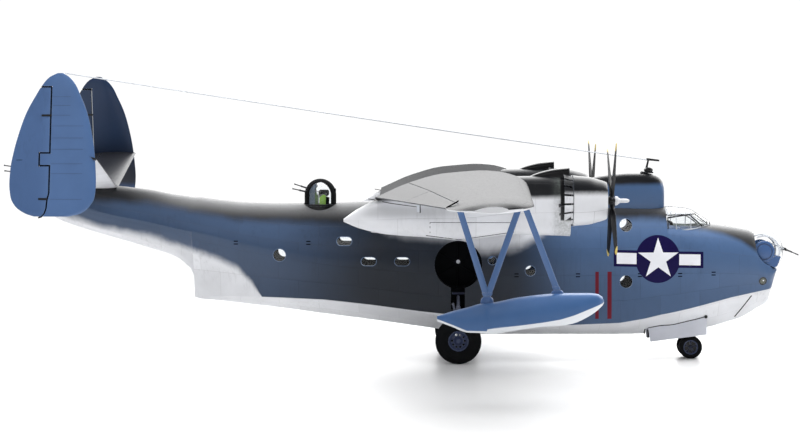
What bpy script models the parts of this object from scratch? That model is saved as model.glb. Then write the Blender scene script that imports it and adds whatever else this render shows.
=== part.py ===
"""Twin-engined, gull-winged patrol flying boat with a wheeled undercarriage: a 1:72 plastic display model.

All sizes below are in millimetres of the model and become metres where a mesh is made.
+X is forward, +Y is port, +Z is up. The floor is Z = 0, under the wheels, and the hull's
centre plane is Y = 0. Every piece is closed, and pieces that touch keep a gap of SEAM.
"""

import math

import bmesh
import bpy
from mathutils import Matrix, Vector

MM = 0.001
SEAM = 0.3
HULL_HALVES_SEAM = 0.1
SIDES = {"port": 1, "starboard": -1}

MODEL_NAME = "patrol_flying_boat_model"

# Hull lines, from the tail to the bow. Each row is a station: its X, the keel height, the chine's
# height and half beam, the waist's height and half beam, the deck height, and how square the deck is.
HULL_LINES = (
    (-157.0, 66.0, 67.6, 2.6, 72.5, 4.6, 79.0, 2.0),
    (-149.0, 60.6, 62.6, 3.2, 69.0, 6.0, 78.0, 1.9),
    (-135.0, 55.6, 58.0, 4.4, 65.0, 8.0, 76.2, 1.8),
    (-122.0, 51.8, 54.4, 5.4, 62.0, 9.8, 74.7, 1.7),
    (-108.5, 47.8, 50.8, 6.0, 59.5, 11.6, 73.1, 1.7),
    (-97.3, 44.0, 47.0, 5.0, 57.0, 13.0, 71.0, 1.65),
    (-92.5, 40.3, 42.5, 2.6, 56.0, 13.5, 70.4, 1.65),
    (-89.6, 35.8, 37.0, 1.0, 55.4, 13.8, 70.0, 1.65),
    (-89.2, 26.2, 27.0, 0.8, 55.3, 13.9, 70.0, 1.65),
    (-78.5, 24.9, 27.2, 5.6, 53.0, 15.0, 68.9, 1.65),
    (-66.6, 23.5, 27.4, 10.6, 50.0, 16.2, 67.8, 1.65),
    (-51.0, 21.7, 27.3, 15.6, 47.0, 17.6, 67.4, 1.65),
    (-32.6, 19.2, 26.7, 18.6, 44.0, 19.0, 67.5, 1.65),
    (-12.0, 16.6, 24.6, 20.2, 42.0, 20.1, 68.2, 1.7),
    (9.0, 13.7, 21.7, 20.8, 40.5, 20.6, 68.2, 1.75),
    (18.0, 12.5, 19.9, 20.8, 40.3, 20.6, 68.1, 1.77),
    (29.8, 11.4, 18.4, 20.9, 40.0, 20.7, 68.0, 1.8),
    (30.0, 10.3, 17.6, 20.9, 40.0, 20.7, 68.0, 1.8),
    (50.0, 10.3, 16.6, 20.9, 40.0, 20.7, 67.6, 1.9),
    (71.5, 10.3, 16.0, 20.7, 40.0, 20.3, 67.0, 2.0),
    (94.2, 10.3, 16.9, 20.0, 40.0, 19.4, 66.4, 2.1),
    (104.6, 10.5, 18.6, 19.2, 40.0, 18.8, 66.0, 2.2),
    (114.9, 11.4, 20.8, 18.0, 40.0, 18.0, 65.9, 2.2),
    (115.1, 11.4, 20.8, 18.0, 40.0, 18.0, 59.4, 3.0),
    (125.0, 12.4, 22.9, 16.4, 40.0, 16.8, 59.0, 2.8),
    (134.1, 13.5, 25.1, 14.4, 39.5, 15.2, 58.5, 2.5),
    (143.1, 16.0, 27.3, 12.0, 39.0, 13.2, 57.3, 2.4),
    (148.5, 17.8, 28.3, 10.3, 38.5, 11.8, 56.3, 2.4),
    (153.4, 20.6, 29.2, 8.5, 38.0, 10.3, 54.8, 2.4),
    (155.0, 21.7, 29.5, 7.9, 37.5, 9.8, 49.6, 2.6),
    (160.1, 25.3, 30.4, 5.6, 36.5, 7.6, 43.0, 2.6),
    (161.4, 29.8, 32.6, 4.6, 36.6, 6.8, 41.4, 2.6),
    (163.2, 37.4, 37.9, 3.6, 38.5, 5.2, 39.6, 2.6),
)
KEEL_FLAT_HALF_WIDTH = 1.6
DECK_STEPS = 6
SKIN = 1.3
# Height of the cabin floors, along X: below them the hull is solid.
AFT_FLOOR = (
    (-138.0, 59.0),
    (-108.0, 50.5),
    (-92.0, 45.0),
    (-84.0, 38.5),
    (-74.0, 30.0),
    (-60.0, 25.5),
    (8.0, 17.0),
)
FORWARD_FLOOR = ((37.0, 27.0), (120.0, 27.0), (147.0, 31.0))

DOORWAY = ((113.0, -8.0, 27.0), (117.0, 8.0, 47.0))

# Round and stadium-shaped side windows: X, Z, and their half length and half height.
ROUND_WINDOWS = (
    (97.2, 58.4, 2.7),
    (97.0, 34.5, 2.7),
    (-51.2, 45.6, 2.7),
    (56.1, 39.2, 2.2),
    (39.9, 43.6, 1.8),
)
LONG_WINDOWS = ((-23.4, 51.6), (-12.9, 43.1), (1.4, 43.1))
LONG_WINDOW_SIZE = (6.5, 3.6)
BOW_LIGHT = (156.9, 34.0, 1.7)

# Wheel wells, their leg slots, and the nose wheel's bay.
WELL_CENTRE = (25.4, 41.7)
WELL_RADIUS = 10.2
WELL_BOTTOM_Y = 12.0
SLOT_X = (22.2, 28.2)
SLOT_Z = (22.6, 31.5)
BAY_X = (106.0, 132.0)
BAY_HALF_WIDTH = 8.2
BAY_ROOF_Z = 22.0

# Turrets.
DORSAL_CENTRE_X = -34.4
DORSAL_RADIUS = 6.8
DORSAL_TOP_Z = 77.8
DORSAL_SEAT_Z = 60.5
DORSAL_RIM_Z = 66.0
DORSAL_GUN_Y = (2.0, -2.0)
DOME_WALL_HEIGHT = 4.6
DOME_THICKNESS = 0.6
DOME_STEPS = 5
BOW_BALL = (157.6, 46.6)
BOW_BALL_RADIUS = 9.0
BOW_GUNS = tuple(((160.5, y, 50.3), (173.0, y, 45.0)) for y in (2.6, -2.6))
TAIL_BALL = (-160.6, 78.2)
TAIL_BALL_RADIUS = 6.4
TAIL_GUNS = (((-162.1, 1.9, 82.0), (-172.7, 1.9, 83.6)), ((-162.1, -1.9, 80.2), (-171.8, -1.9, 81.3)))

# Wing: each row is |Y|, leading edge X and Z, trailing edge X and Z, and thickness.
WING_ROOT = (7.0, 55.6, 56.6, -12.6, 51.6, 12.8)
WING_BREAK = (57.0, 53.4, 76.4, -9.1, 71.9, 12.4)
WING_OUTER = (230.0, 47.8, 75.7, 18.1, 74.9, 4.4)
WING_TIP = (
    (238.5, 46.3, 75.6, 19.1, 74.7, 3.9),
    (245.5, 43.4, 75.4, 22.0, 74.7, 3.1),
    (249.75, 38.6, 75.2, 27.2, 74.8, 1.8),
)
UPPER_SHARE = 0.65
# Along the chord: the share of the greatest height above and below the chord line.
FOIL_FORM = (
    (0.0, 0.0, 0.0),
    (0.025, 0.34, 0.42),
    (0.09, 0.62, 0.7),
    (0.2, 0.88, 0.94),
    (0.35, 1.0, 1.0),
    (0.55, 0.97, 0.86),
    (0.78, 0.62, 0.46),
    (1.0, 0.0, 0.0),
)
TRAILING_THICKNESS = 0.35
FLAP_Y = (58.5, 136.8)
AILERON_Y = (137.2, 230.0)
HINGE_X = {58.5: 4.6, 136.8: 13.4, 137.2: 13.4, 230.0: 22.6}

# Engine nacelles: stations from the cowl to the tail tip: X, half width, bottom Z, top Z, squareness.
NACELLE_Y = 57.0
THRUST_Z = 70.6
NACELLE_LINES = (
    (70.5, 9.3, 56.1, 80.4, 2.2),
    (60.0, 9.6, 56.5, 80.8, 2.4),
    (48.0, 9.7, 56.7, 80.6, 2.7),
    (26.0, 9.2, 54.5, 79.0, 2.6),
    (10.8, 8.0, 55.6, 76.5, 2.5),
    (-5.0, 5.6, 56.8, 72.6, 2.3),
    (-16.0, 2.9, 59.3, 67.4, 2.2),
    (-22.2, 0.7, 61.9, 63.1, 2.0),
)
SCOOP_LINES = (
    (70.2, 3.3, 78.0, 84.2),
    (64.0, 3.3, 78.0, 83.6),
    (57.0, 2.6, 78.0, 81.9),
    (53.0, 1.6, 78.0, 80.2),
)
COWL_X = (71.6, 85.6)
COWL_RADIUS = 10.4
# The cowl's outside: radius, and distance behind its front.
COWL_LINES = ((6.7, 0.6), (7.1, 0.0), (7.6, 0.2), (8.0, 1.1), (8.8, 3.8), (9.7, 7.2), (10.2, 12.0))
COWL_SKIN = 0.8
CYLINDERS = 9
CYLINDER_RADIUS = 1.15
PROP_X = 87.7
PROP_RADIUS = 31.3
PROP_PHASE = {"port": 46.0, "starboard": 40.5}
BLADES = 4
SHAFT_END_X = 85.5

# Wing floats: stations from the tail to the nose: X, half width, bottom Z, chine Z, top Z.
FLOAT_Y = 167.0
FLOAT_LINES = (
    (15.7, 0.5, 31.3, 32.2, 33.2),
    (21.0, 2.8, 29.4, 30.4, 34.9),
    (26.5, 4.2, 27.3, 28.3, 36.3),
    (33.6, 5.2, 26.9, 28.2, 38.0),
    (33.8, 5.3, 26.6, 28.9, 38.0),
    (45.2, 5.9, 28.2, 30.3, 40.0),
    (54.0, 6.1, 29.4, 31.5, 41.1),
    (60.0, 5.8, 29.7, 32.5, 41.6),
    (65.0, 5.5, 30.6, 34.0, 41.6),
    (70.8, 4.6, 33.3, 36.3, 41.6),
    (74.0, 3.2, 35.6, 37.5, 41.2),
    (75.5, 1.8, 37.1, 38.1, 40.2),
    (76.0, 0.6, 38.0, 38.4, 38.9),
)
# Each pedestal: X of its ends, and the heights of its foot, inside the float, and of its top.
PEDESTALS = {"front": (56.7, 61.7, 39.8, 42.6), "rear": (31.5, 36.1, 36.2, 40.2)}
PEDESTAL_WIDTH = 2.0
STRUT_TOPS = {"front": ((46.4, 1.8),), "rear": ((22.7, 0.0), (46.4, -1.8))}
STRUT_TOP_Z = 76.0
STRUT_CHORD = 2.4
STRUT_THICKNESS = 1.0

# Tailplane and fins. The tailplane rises outward, and each fin stands square on it.
TAILPLANE_ROOT = (2.0, -122.8, 74.2, -149.5, 74.4, 3.0)
TAILPLANE_END = (61.5, -122.8, 87.6, -146.0, 87.0, 2.3)
ELEVATOR_Y = (12.0, 58.0)
ELEVATOR_HINGE_X = -138.2
FIN_FOOT = (65.5, 64.4)
FIN_LEAN = 12.2 / 58.4
FIN_THICKNESS = 2.5
# Fin outline: each row is Z, leading edge X and trailing edge X.
FIN_OUTLINE = (
    (64.4, -133.6, -148.0),
    (65.6, -129.0, -151.6),
    (68.6, -125.3, -155.8),
    (72.1, -123.5, -157.7),
    (78.0, -123.0, -158.4),
    (84.0, -123.3, -158.1),
    (90.5, -123.9, -157.0),
    (101.6, -125.9, -154.0),
    (107.0, -127.4, -152.0),
    (114.0, -130.3, -148.3),
    (118.0, -132.2, -145.9),
    (121.3, -135.0, -143.0),
    (122.9, -137.6, -139.8),
)
RUDDER_HINGE_X = -142.0
RUDDER_TOP_Z = 117.2
RUDDER_NOTCH = (-146.3, 85.0, 90.2)

# Radome, aerial mast and direction-finding loop on the cabin roof.
RADOME_LINES = (
    (72.0, 1.8, 71.0),
    (78.0, 4.4, 76.2),
    (84.0, 5.6, 78.4),
    (92.0, 6.2, 79.7),
    (100.0, 6.2, 80.3),
    (107.0, 6.1, 80.3),
    (111.5, 5.3, 79.2),
    (114.1, 3.9, 76.7),
    (114.7, 2.8, 74.4),
)
RADOME_FOOT_Z = 60.0
MAST_PLATE = ((104.6, 110.2), 1.6, 1.0)
MAST_FOOT_X = 106.8
MAST_TOP = (108.05, 86.1)
MAST_TUBE = ((107.3, 86.4), (112.8, 85.8))
LOOP_BALL = ((109.3, 81.6), 1.0)

# Cockpit canopy, half sections: X, then half width and height of sill, rail, shoulder and crown.
CANOPY_LINES = (
    (115.4, (13.2, 50.0), (12.9, 56.0), (11.4, 61.8), (7.2, 64.8), (0.0, 65.9)),
    (119.6, (12.8, 50.0), (12.6, 56.0), (10.9, 62.2), (6.9, 64.6), (0.0, 65.6)),
    (125.7, (11.6, 50.0), (11.3, 56.6), (9.6, 62.6), (6.0, 64.0), (0.0, 64.8)),
    (129.0, (9.6, 50.0), (9.2, 57.0), (7.4, 61.2), (4.8, 62.6), (0.0, 63.0)),
    (134.4, (4.8, 50.0), (4.8, 58.2), (3.6, 59.1), (2.4, 59.4), (0.0, 59.5)),
)
CANOPY_SKIN = 0.9
COCKPIT_OPENING = ((116.6, -9.6), (125.7, -8.6), (132.6, -4.0), (132.6, 4.0), (125.7, 8.6), (116.6, 9.6))
COCKPIT_FLOOR_Z = 48.5

# Undercarriage.
MAIN_WHEEL = (25.35, 26.2, 9.8)
MAIN_TYRE_RADIUS = 9.8
MAIN_TYRE_WIDTH = 5.4
MAIN_HUB_RADIUS = 4.4
HUB_HOLES = 10
HUB_HOLE_RADIUS = 2.7
MAIN_LEG_Y = 22.2
MAIN_LEG_RADIUS = 0.9
AXLE_RADIUS = 0.9
AXLE_PLAY = 0.3
NOSE_AXLE = (126.3, 5.0)
NOSE_TYRE_RADIUS = 5.0
NOSE_TYRE_WIDTH = 3.0
NOSE_HUB_RADIUS = 2.7
NOSE_WHEEL_Y = 4.6
DOOR_TOP = ((107.3, 14.6), (132.8, 19.6))
DOOR_BOTTOM = ((108.5, 7.7), (132.8, 10.8))
DOOR_THICKNESS = 0.7

COLOURS = {
    "sea_blue": ((0.075, 0.135, 0.27), 0.5, 0.0),
    "deck_blue": ((0.03, 0.04, 0.065), 0.5, 0.0),
    "white": ((0.72, 0.74, 0.76), 0.45, 0.0),
    "black": ((0.012, 0.012, 0.014), 0.5, 0.0),
    "clear": ((0.85, 0.88, 0.9), 0.05, 0.0),
    "rubber": ((0.01, 0.011, 0.013), 0.8, 0.0),
    "silver": ((0.62, 0.63, 0.64), 0.3, 1.0),
    "engine_grey": ((0.09, 0.09, 0.1), 0.45, 0.7),
    "interior_green": ((0.13, 0.2, 0.08), 0.6, 0.0),
    "primer_grey": ((0.16, 0.18, 0.22), 0.5, 0.0),
}


def start_empty_scene():
    for obj in list(bpy.data.objects):
        bpy.data.objects.remove(obj, do_unlink=True)


def new_collection(name, hidden=False):
    collection = bpy.data.collections.new(name)
    collection.hide_render = hidden
    bpy.context.scene.collection.children.link(collection)
    return collection


def principled(name):
    colour, roughness, metallic = COLOURS[name]
    material = bpy.data.materials.new(name)
    material.use_nodes = True
    shader = material.node_tree.nodes["Principled BSDF"]
    shader.inputs["Base Color"].default_value = (*colour, 1.0)
    shader.inputs["Roughness"].default_value = roughness
    shader.inputs["Metallic"].default_value = metallic
    if name == "clear":
        shader.inputs["Transmission Weight"].default_value = 1.0
    return material


def add_object(name, data, colour, parts):
    """An object in the model, or, where colour is None, a hidden cutter."""
    obj = bpy.data.objects.new(name, data)
    if colour is None:
        parts["cutters"].objects.link(obj)
        obj.hide_render = True
        obj.display_type = "WIRE"
    else:
        parts["model"].objects.link(obj)
        data.materials.append(parts["materials"][colour])
    return obj


def finish_mesh(name, shape):
    """A smooth-shaded mesh from a bmesh whose points are in millimetres."""
    bmesh.ops.remove_doubles(shape, verts=shape.verts, dist=0.001)
    bmesh.ops.dissolve_degenerate(shape, edges=shape.edges, dist=0.0005)
    bmesh.ops.recalc_face_normals(shape, faces=shape.faces)
    bmesh.ops.scale(shape, vec=(MM, MM, MM), verts=shape.verts)
    mesh = bpy.data.meshes.new(name)
    shape.to_mesh(mesh)
    shape.free()
    mesh.shade_smooth()
    mesh.set_sharp_from_angle(angle=math.radians(38))
    return mesh


def skin_rings(shape, rings):
    """Joins closed rings of points one to the next, and closes both ends."""
    loops = [[shape.verts.new(point) for point in ring] for ring in rings]
    count = len(rings[0])
    for near, far in zip(loops, loops[1:]):
        for i in range(count):
            j = (i + 1) % count
            shape.faces.new((near[i], near[j], far[j], far[i]))
    shape.faces.new(list(reversed(loops[0])))
    shape.faces.new(loops[-1])


def loft(name, rings, colour, parts):
    shape = bmesh.new()
    skin_rings(shape, rings)
    return add_object(name, finish_mesh(name, shape), colour, parts)


def box(shape, low, high):
    size = [high[i] - low[i] for i in range(3)]
    middle = [(high[i] + low[i]) / 2 for i in range(3)]
    place = Matrix.Translation(middle) @ Matrix.Diagonal((*size, 1.0))
    bmesh.ops.create_cube(shape, size=1.0, matrix=place)


def rod(shape, start, end, radius, end_radius=None, sides=12):
    """A closed round bar or cone between two points."""
    start, end = Vector(start), Vector(end)
    turn = Vector((0, 0, 1)).rotation_difference(end - start).to_matrix().to_4x4()
    bmesh.ops.create_cone(
        shape,
        cap_ends=True,
        segments=sides,
        radius1=radius,
        radius2=radius if end_radius is None else end_radius,
        depth=(end - start).length,
        matrix=Matrix.Translation((start + end) / 2) @ turn,
    )


def prism(shape, outline, axis, low, high):
    """A flat outline pushed along one axis. The outline's two numbers are the other two axes, in order."""
    def place(point, level):
        point = list(point)
        point.insert(axis, level)
        return point

    skin_rings(shape, [[place(p, low) for p in outline], [place(p, high) for p in outline]])


def solid_of(name, make, colour, parts):
    """An object from a function that fills a bmesh."""
    shape = bmesh.new()
    make(shape)
    return add_object(name, finish_mesh(name, shape), colour, parts)


def turned(name, profile, colour, parts, place, turn=(0.0, 0.0, 0.0), steps=24):
    """A profile of (radius, height) points spun about its own Z axis."""
    mesh = bpy.data.meshes.new(name)
    points = [(r * MM, 0.0, h * MM) for r, h in profile]
    edges = [(i, i + 1) for i in range(len(points) - 1)]
    if profile[0][0] > 0 and profile[-1][0] > 0:
        edges.append((len(points) - 1, 0))
    mesh.from_pydata(points, edges, [])
    obj = add_object(name, mesh, colour, parts)
    obj.location = [v * MM for v in place]
    obj.rotation_euler = turn
    screw = obj.modifiers.new("Turn", "SCREW")
    screw.steps = steps
    screw.render_steps = steps
    screw.use_merge_vertices = True
    screw.merge_threshold = 0.00001
    screw.use_smooth_shade = True
    return obj


def apply_boolean(obj, operation, other):
    modifier = obj.modifiers.new(other.name, "BOOLEAN")
    modifier.operation = operation
    modifier.object = other
    modifier.solver = "EXACT"


def cut(obj, *cutters):
    for cutter in cutters:
        apply_boolean(obj, "DIFFERENCE", cutter)


def fuse(obj, *others):
    for other in others:
        apply_boolean(obj, "UNION", other)


def between(rows, x, column=None):
    """Straight-line reading of a table whose first column rises."""
    x = min(max(x, rows[0][0]), rows[-1][0])
    for low, high in zip(rows, rows[1:]):
        if x <= high[0]:
            share = (x - low[0]) / (high[0] - low[0])
            row = [a + (b - a) * share for a, b in zip(low, high)]
            return row if column is None else row[column]
    return rows[-1] if column is None else rows[-1][column]


def hull_half_section(row, grow=0.0):
    """The hull's outline at one station, from the keel round to the deck's middle, as (y, z) points."""
    _, keel, chine_z, chine_y, waist_z, waist_y, deck, square = row
    chine_y, waist_y = chine_y + grow, waist_y + grow
    keel, deck = keel - grow, deck + grow
    keel_y = min(KEEL_FLAT_HALF_WIDTH, chine_y * 0.5)
    sag = 0.06 * (chine_z - keel)
    points = [(0.0, keel), (keel_y, keel)]
    points.append(((keel_y + chine_y) / 2, (keel + chine_z) / 2 - sag))
    points.append((chine_y, chine_z))
    for rise, flare in ((0.34, 0.2), (0.68, 0.66)):
        points.append((chine_y + (waist_y - chine_y) * flare, chine_z + (waist_z - chine_z) * rise))
    for i in range(DECK_STEPS):
        angle = math.pi / 2 * i / DECK_STEPS
        across, up = math.cos(angle) ** (2 / square), math.sin(angle) ** (2 / square)
        points.append((waist_y * across, waist_z + (deck - waist_z) * up))
    points.append((0.0, deck))
    return points


def hull_side_y(x, z):
    """Half beam of the hull's outside at a height."""
    outline = hull_half_section(between(HULL_LINES, x))
    for (y0, z0), (y1, z1) in zip(outline[1:], outline[2:]):
        if z0 <= z <= z1 and z1 > z0:
            return y0 + (y1 - y0) * (z - z0) / (z1 - z0)
    return 0.0


def cabin_y(x, z):
    """Half width of the hollow inside at a height, one skin in from the nearest hull side."""
    deck = between(HULL_LINES, x, 6) - 0.02 * SKIN
    return min(hull_side_y(x, level) for level in (z - SKIN, z, min(z + SKIN, deck))) - SKIN


def hull_half(side, parts):
    sign = SIDES[side]
    inner = HULL_HALVES_SEAM / 2
    rings = []
    for row in HULL_LINES:
        outline = hull_half_section(row)
        rings.append([(row[0], sign * max(y, inner), z) for y, z in outline])
    return loft("hull_" + side, rings, "sea_blue", parts)


def hull_clearance(parts):
    """The whole hull's outside, one seam larger, which trims what is set against the hull."""
    rings = []
    for row in HULL_LINES:
        half = hull_half_section(row, SEAM)
        x = row[0]
        if row is HULL_LINES[0]:
            x -= SEAM
        elif row is HULL_LINES[-1]:
            x += SEAM
        ring = [(x, y, z) for y, z in half]
        ring += [(x, -y, z) for y, z in reversed(half[1:-1])]
        rings.append(ring)
    return loft("hull_clearance", rings, None, parts)


def cabin_space(name, floor, stations, parts):
    """The hollow inside the hull, above a floor line."""
    levels = 8
    rings = []
    for x in stations:
        low = between(floor, x, 1)
        high = between(HULL_LINES, x, 6) - SKIN
        half = []
        for i in range(levels):
            z = low + (high - low) * i / (levels - 1)
            half.append((max(cabin_y(x, z), 0.6), z))
        ring = [(x, y, z) for y, z in half] + [(x, -y, z) for y, z in reversed(half)]
        rings.append(ring)
    return loft(name, rings, None, parts)


def hull_openings(parts):
    def windows(shape):
        for x, z, radius in ROUND_WINDOWS:
            rod(shape, (x, -30, z), (x, 30, z), radius, sides=14)
        length, height = LONG_WINDOW_SIZE
        for x, z in LONG_WINDOWS:
            outline = []
            for end, start_angle in ((1, -90), (-1, 90)):
                for k in range(5):
                    angle = math.radians(start_angle + 45 * k)
                    outline.append(
                        (
                            x + end * (length - height) / 2 + height / 2 * math.cos(angle),
                            z + height / 2 * math.sin(angle),
                        )
                    )
            prism(shape, outline, 1, -30, 30)
        x, z, radius = BOW_LIGHT
        rod(shape, (x, -20, z), (x, -4.5, z), radius, sides=12)
        rod(shape, (x, 4.5, z), (x, 20, z), radius, sides=12)

    def wells(shape):
        x, z = WELL_CENTRE
        for sign in SIDES.values():
            rod(shape, (x, sign * WELL_BOTTOM_Y, z), (x, sign * 30, z), WELL_RADIUS, sides=24)

    def slots(shape):
        for sign in SIDES.values():
            low, high = sorted((sign * 17.0, sign * 30.0))
            box(shape, (SLOT_X[0], low, SLOT_Z[0]), (SLOT_X[1], high, SLOT_Z[1] + 2.0))

    def bay(shape):
        box(shape, (BAY_X[0], -BAY_HALF_WIDTH, 0.0), (BAY_X[1], BAY_HALF_WIDTH, BAY_ROOF_Z))

    def cockpit(shape):
        prism(shape, COCKPIT_OPENING, 2, 50, 70)

    def dorsal(shape):
        foot, top = (DORSAL_CENTRE_X, 0, DORSAL_SEAT_Z), (DORSAL_CENTRE_X, 0, 80)
        rod(shape, foot, top, DORSAL_RADIUS + 0.5, sides=24)

    makers = {
        "window_cuts": windows,
        "well_cuts": wells,
        "slot_cuts": slots,
        "bay_cut": bay,
        "cockpit_cut": cockpit,
        "dorsal_cut": dorsal,
    }
    return [solid_of(name, make, None, parts) for name, make in makers.items()]


def ball(name, centre, radius, parts, colour=None, across=14, round_steps=20):
    """A ball whose poles lie port and starboard."""
    shape = bmesh.new()
    place = Matrix.Translation((centre[0], 0, centre[1])) @ Matrix.Rotation(math.pi / 2, 4, "X")
    bmesh.ops.create_uvsphere(shape, u_segments=round_steps, v_segments=across, radius=radius, matrix=place)
    return add_object(name, finish_mesh(name, shape), colour, parts)


def make_hull(parts):
    halves = [hull_half(side, parts) for side in SIDES]
    aft_stations = (-138.0, -122.0, -108.0, -92.0, -78.0, -60.0, -44.5, -43.5, -25.3, -24.3, -6.0, 8.0)
    aft = cabin_space("aft_cabin", AFT_FLOOR, aft_stations, parts)
    for vertex in aft.data.vertices:
        under_turret = abs(vertex.co.x / MM - DORSAL_CENTRE_X) < DORSAL_RADIUS + 2.8
        if under_turret and vertex.co.z / MM > DORSAL_SEAT_Z - 1.5:
            vertex.co.z = (DORSAL_SEAT_Z - 1.5) * MM
    forward = cabin_space("forward_cabin", FORWARD_FLOOR, (37.0, 60.0, 80.0, 100.0, 104.0, 114.6), parts)
    nose = cabin_space("nose_cabin", FORWARD_FLOOR, (115.4, 125.0, 136.0, 146.0), parts)
    sockets = [
        ball("bow_socket", BOW_BALL, BOW_BALL_RADIUS + SEAM, parts),
        ball("tail_socket", TAIL_BALL, TAIL_BALL_RADIUS + SEAM, parts),
    ]
    doorway = solid_of("doorway", lambda shape: box(shape, *DOORWAY), None, parts)
    openings = hull_openings(parts)
    for half in halves:
        cut(half, aft, forward, nose, doorway, *openings, *sockets)


def foil_ring(y, row, grow=0.0):
    """A wing section at |Y| = row[0], placed at y, from the trailing edge over the top and back below."""
    _, le_x, le_z, te_x, te_z, thickness = row
    chord = le_x - te_x
    upper, lower = [], []
    for share, above, below in FOIL_FORM:
        x = le_x - chord * share
        z = le_z + (te_z - le_z) * share
        edge = TRAILING_THICKNESS / 2 * share
        along = grow * (1 - 2 * share)
        up = thickness * above * UPPER_SHARE + edge + (grow if share > 0 else 0)
        down = thickness * below * (1 - UPPER_SHARE) + edge + (grow if share > 0 else 0)
        upper.append((x + along, y, z + up))
        lower.append((x + along, y, z - down))
    return list(reversed(upper)) + lower[1:]


def wing_panel(name, rows, sign, grow, colour, parts):
    rings = [foil_ring(sign * row[0], row, grow) for row in rows]
    return loft(name, rings, colour, parts)


def row_at(first, last, y):
    share = (y - first[0]) / (last[0] - first[0])
    return [a + (b - a) * share for a, b in zip(first, last)]


def surface_zone(name, sign, y_range, hinge_x, back_x, margin, parts):
    """A block behind a hinge line, seen from above, that holds a flap, an aileron or an elevator."""
    (y0, y1), (x0, x1) = y_range, hinge_x
    outline = (
        (x0 + margin, sign * (y0 - margin)),
        (x1 + margin, sign * (y1 + margin)),
        (back_x, sign * (y1 + margin)),
        (back_x, sign * (y0 - margin)),
    )
    return solid_of(name, lambda shape: prism(shape, outline, 2, 40, 110), None, parts)


def make_wing(side, hull, parts):
    sign = SIDES[side]
    end_of_inner = row_at(WING_ROOT, WING_BREAK, WING_BREAK[0] - SEAM)
    inner = wing_panel("inner_wing_" + side, (WING_ROOT, end_of_inner), sign, 0, "sea_blue", parts)
    cut(inner, hull)
    outer_rows = (WING_BREAK, row_at(WING_BREAK, WING_OUTER, 143.0), WING_OUTER, *WING_TIP)
    outer = wing_panel("outer_wing_" + side, outer_rows, sign, 0, "sea_blue", parts)
    for label, y_range in (("flap", FLAP_Y), ("aileron", AILERON_Y)):
        hinge = (HINGE_X[y_range[0]], HINGE_X[y_range[1]])
        inside = surface_zone(f"{label}_zone_{side}", sign, y_range, hinge, -30, -SEAM / 2, parts)
        outside = surface_zone(f"{label}_gap_{side}", sign, y_range, hinge, -30, SEAM / 2, parts)
        cut(outer, outside)
        surface = wing_panel(f"{label}_{side}", outer_rows, sign, 0, "sea_blue", parts)
        apply_boolean(surface, "INTERSECT", inside)
    whole_rows = (WING_ROOT, WING_BREAK, WING_OUTER)
    return wing_panel("wing_clearance_" + side, whole_rows, sign, SEAM, None, parts)


def oval_ring(x, y, half_width, low, high, square, count=16):
    ring = []
    for i in range(count):
        angle = 2 * math.pi * i / count
        across, up = math.cos(angle), math.sin(angle)
        ring.append(
            (
                x,
                y + half_width * math.copysign(abs(across) ** (2 / square), across),
                (low + high) / 2 + (high - low) / 2 * math.copysign(abs(up) ** (2 / square), up),
            )
        )
    return ring


def make_nacelle(side, wing, parts):
    y = SIDES[side] * NACELLE_Y
    rings = [oval_ring(x, y, width, low, high, square) for x, width, low, high, square in NACELLE_LINES]
    nacelle = loft("nacelle_" + side, rings, "sea_blue", parts)
    scoop_rings = [oval_ring(x, y, width, low, high, 3.0, 12) for x, width, low, high in SCOOP_LINES]
    scoop = loft("scoop_" + side, scoop_rings, None, parts)

    def mouths(shape):
        box(shape, (68.4, y - 2.4, 81.4), (72.0, y + 2.4, 83.5))
        box(shape, (68.6, y - 5.6, 57.0), (72.0, y + 5.6, 59.8))

    fuse(nacelle, scoop)
    cut(nacelle, solid_of("air_mouths_" + side, mouths, None, parts), wing)


def cowl_profile():
    """The cowl's section, from its lip back along the outside, and forward inside."""
    front = COWL_X[1] - COWL_X[0]
    inner = COWL_RADIUS - COWL_SKIN
    outside = [(radius, front - back) for radius, back in COWL_LINES]
    return outside + [(COWL_RADIUS, 0.0), (inner, 0.0), (8.9, 6.6), (7.9, 10.4), (7.1, front - 1.4)]


def make_cowl_flaps(side, parts):
    """Open flaps round the back of the cowl, held by a ring. The top and the belly have none."""
    y = SIDES[side] * NACELLE_Y
    hinge_x, tail_x = 71.3, 67.8

    def point(x, radius, angle):
        return (x, y + radius * math.cos(angle), THRUST_Z + radius * math.sin(angle))

    def make(shape):
        flap_angle, flap_width = math.radians(19.0), math.radians(15.5)
        for k in (-6, -5, -4, -3, -2, 1, 2, 3, 4, 5):
            middle = math.pi / 2 + flap_angle * (k + 0.5)
            rings = []
            for x, low, high in ((hinge_x, 10.3, 10.7), (tail_x, 11.5, 11.9)):
                a, b = middle - flap_width / 2, middle + flap_width / 2
                rings.append([point(x, low, a), point(x, high, a), point(x, high, b), point(x, low, b)])
            skin_rings(shape, rings)

    flaps = solid_of("cowl_flap_leaves_" + side, make, None, parts)
    ring_profile = [(10.4, 0.45), (10.4, 0.0), (9.6, 0.0), (9.6, 0.45)]
    ring = turned(
        "cowl_flaps_" + side,
        ring_profile,
        "white",
        parts,
        (COWL_X[0] - SEAM - 0.45, y, THRUST_Z),
        (0.0, math.pi / 2, 0.0),
        steps=24,
    )
    fuse(ring, flaps)


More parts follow.
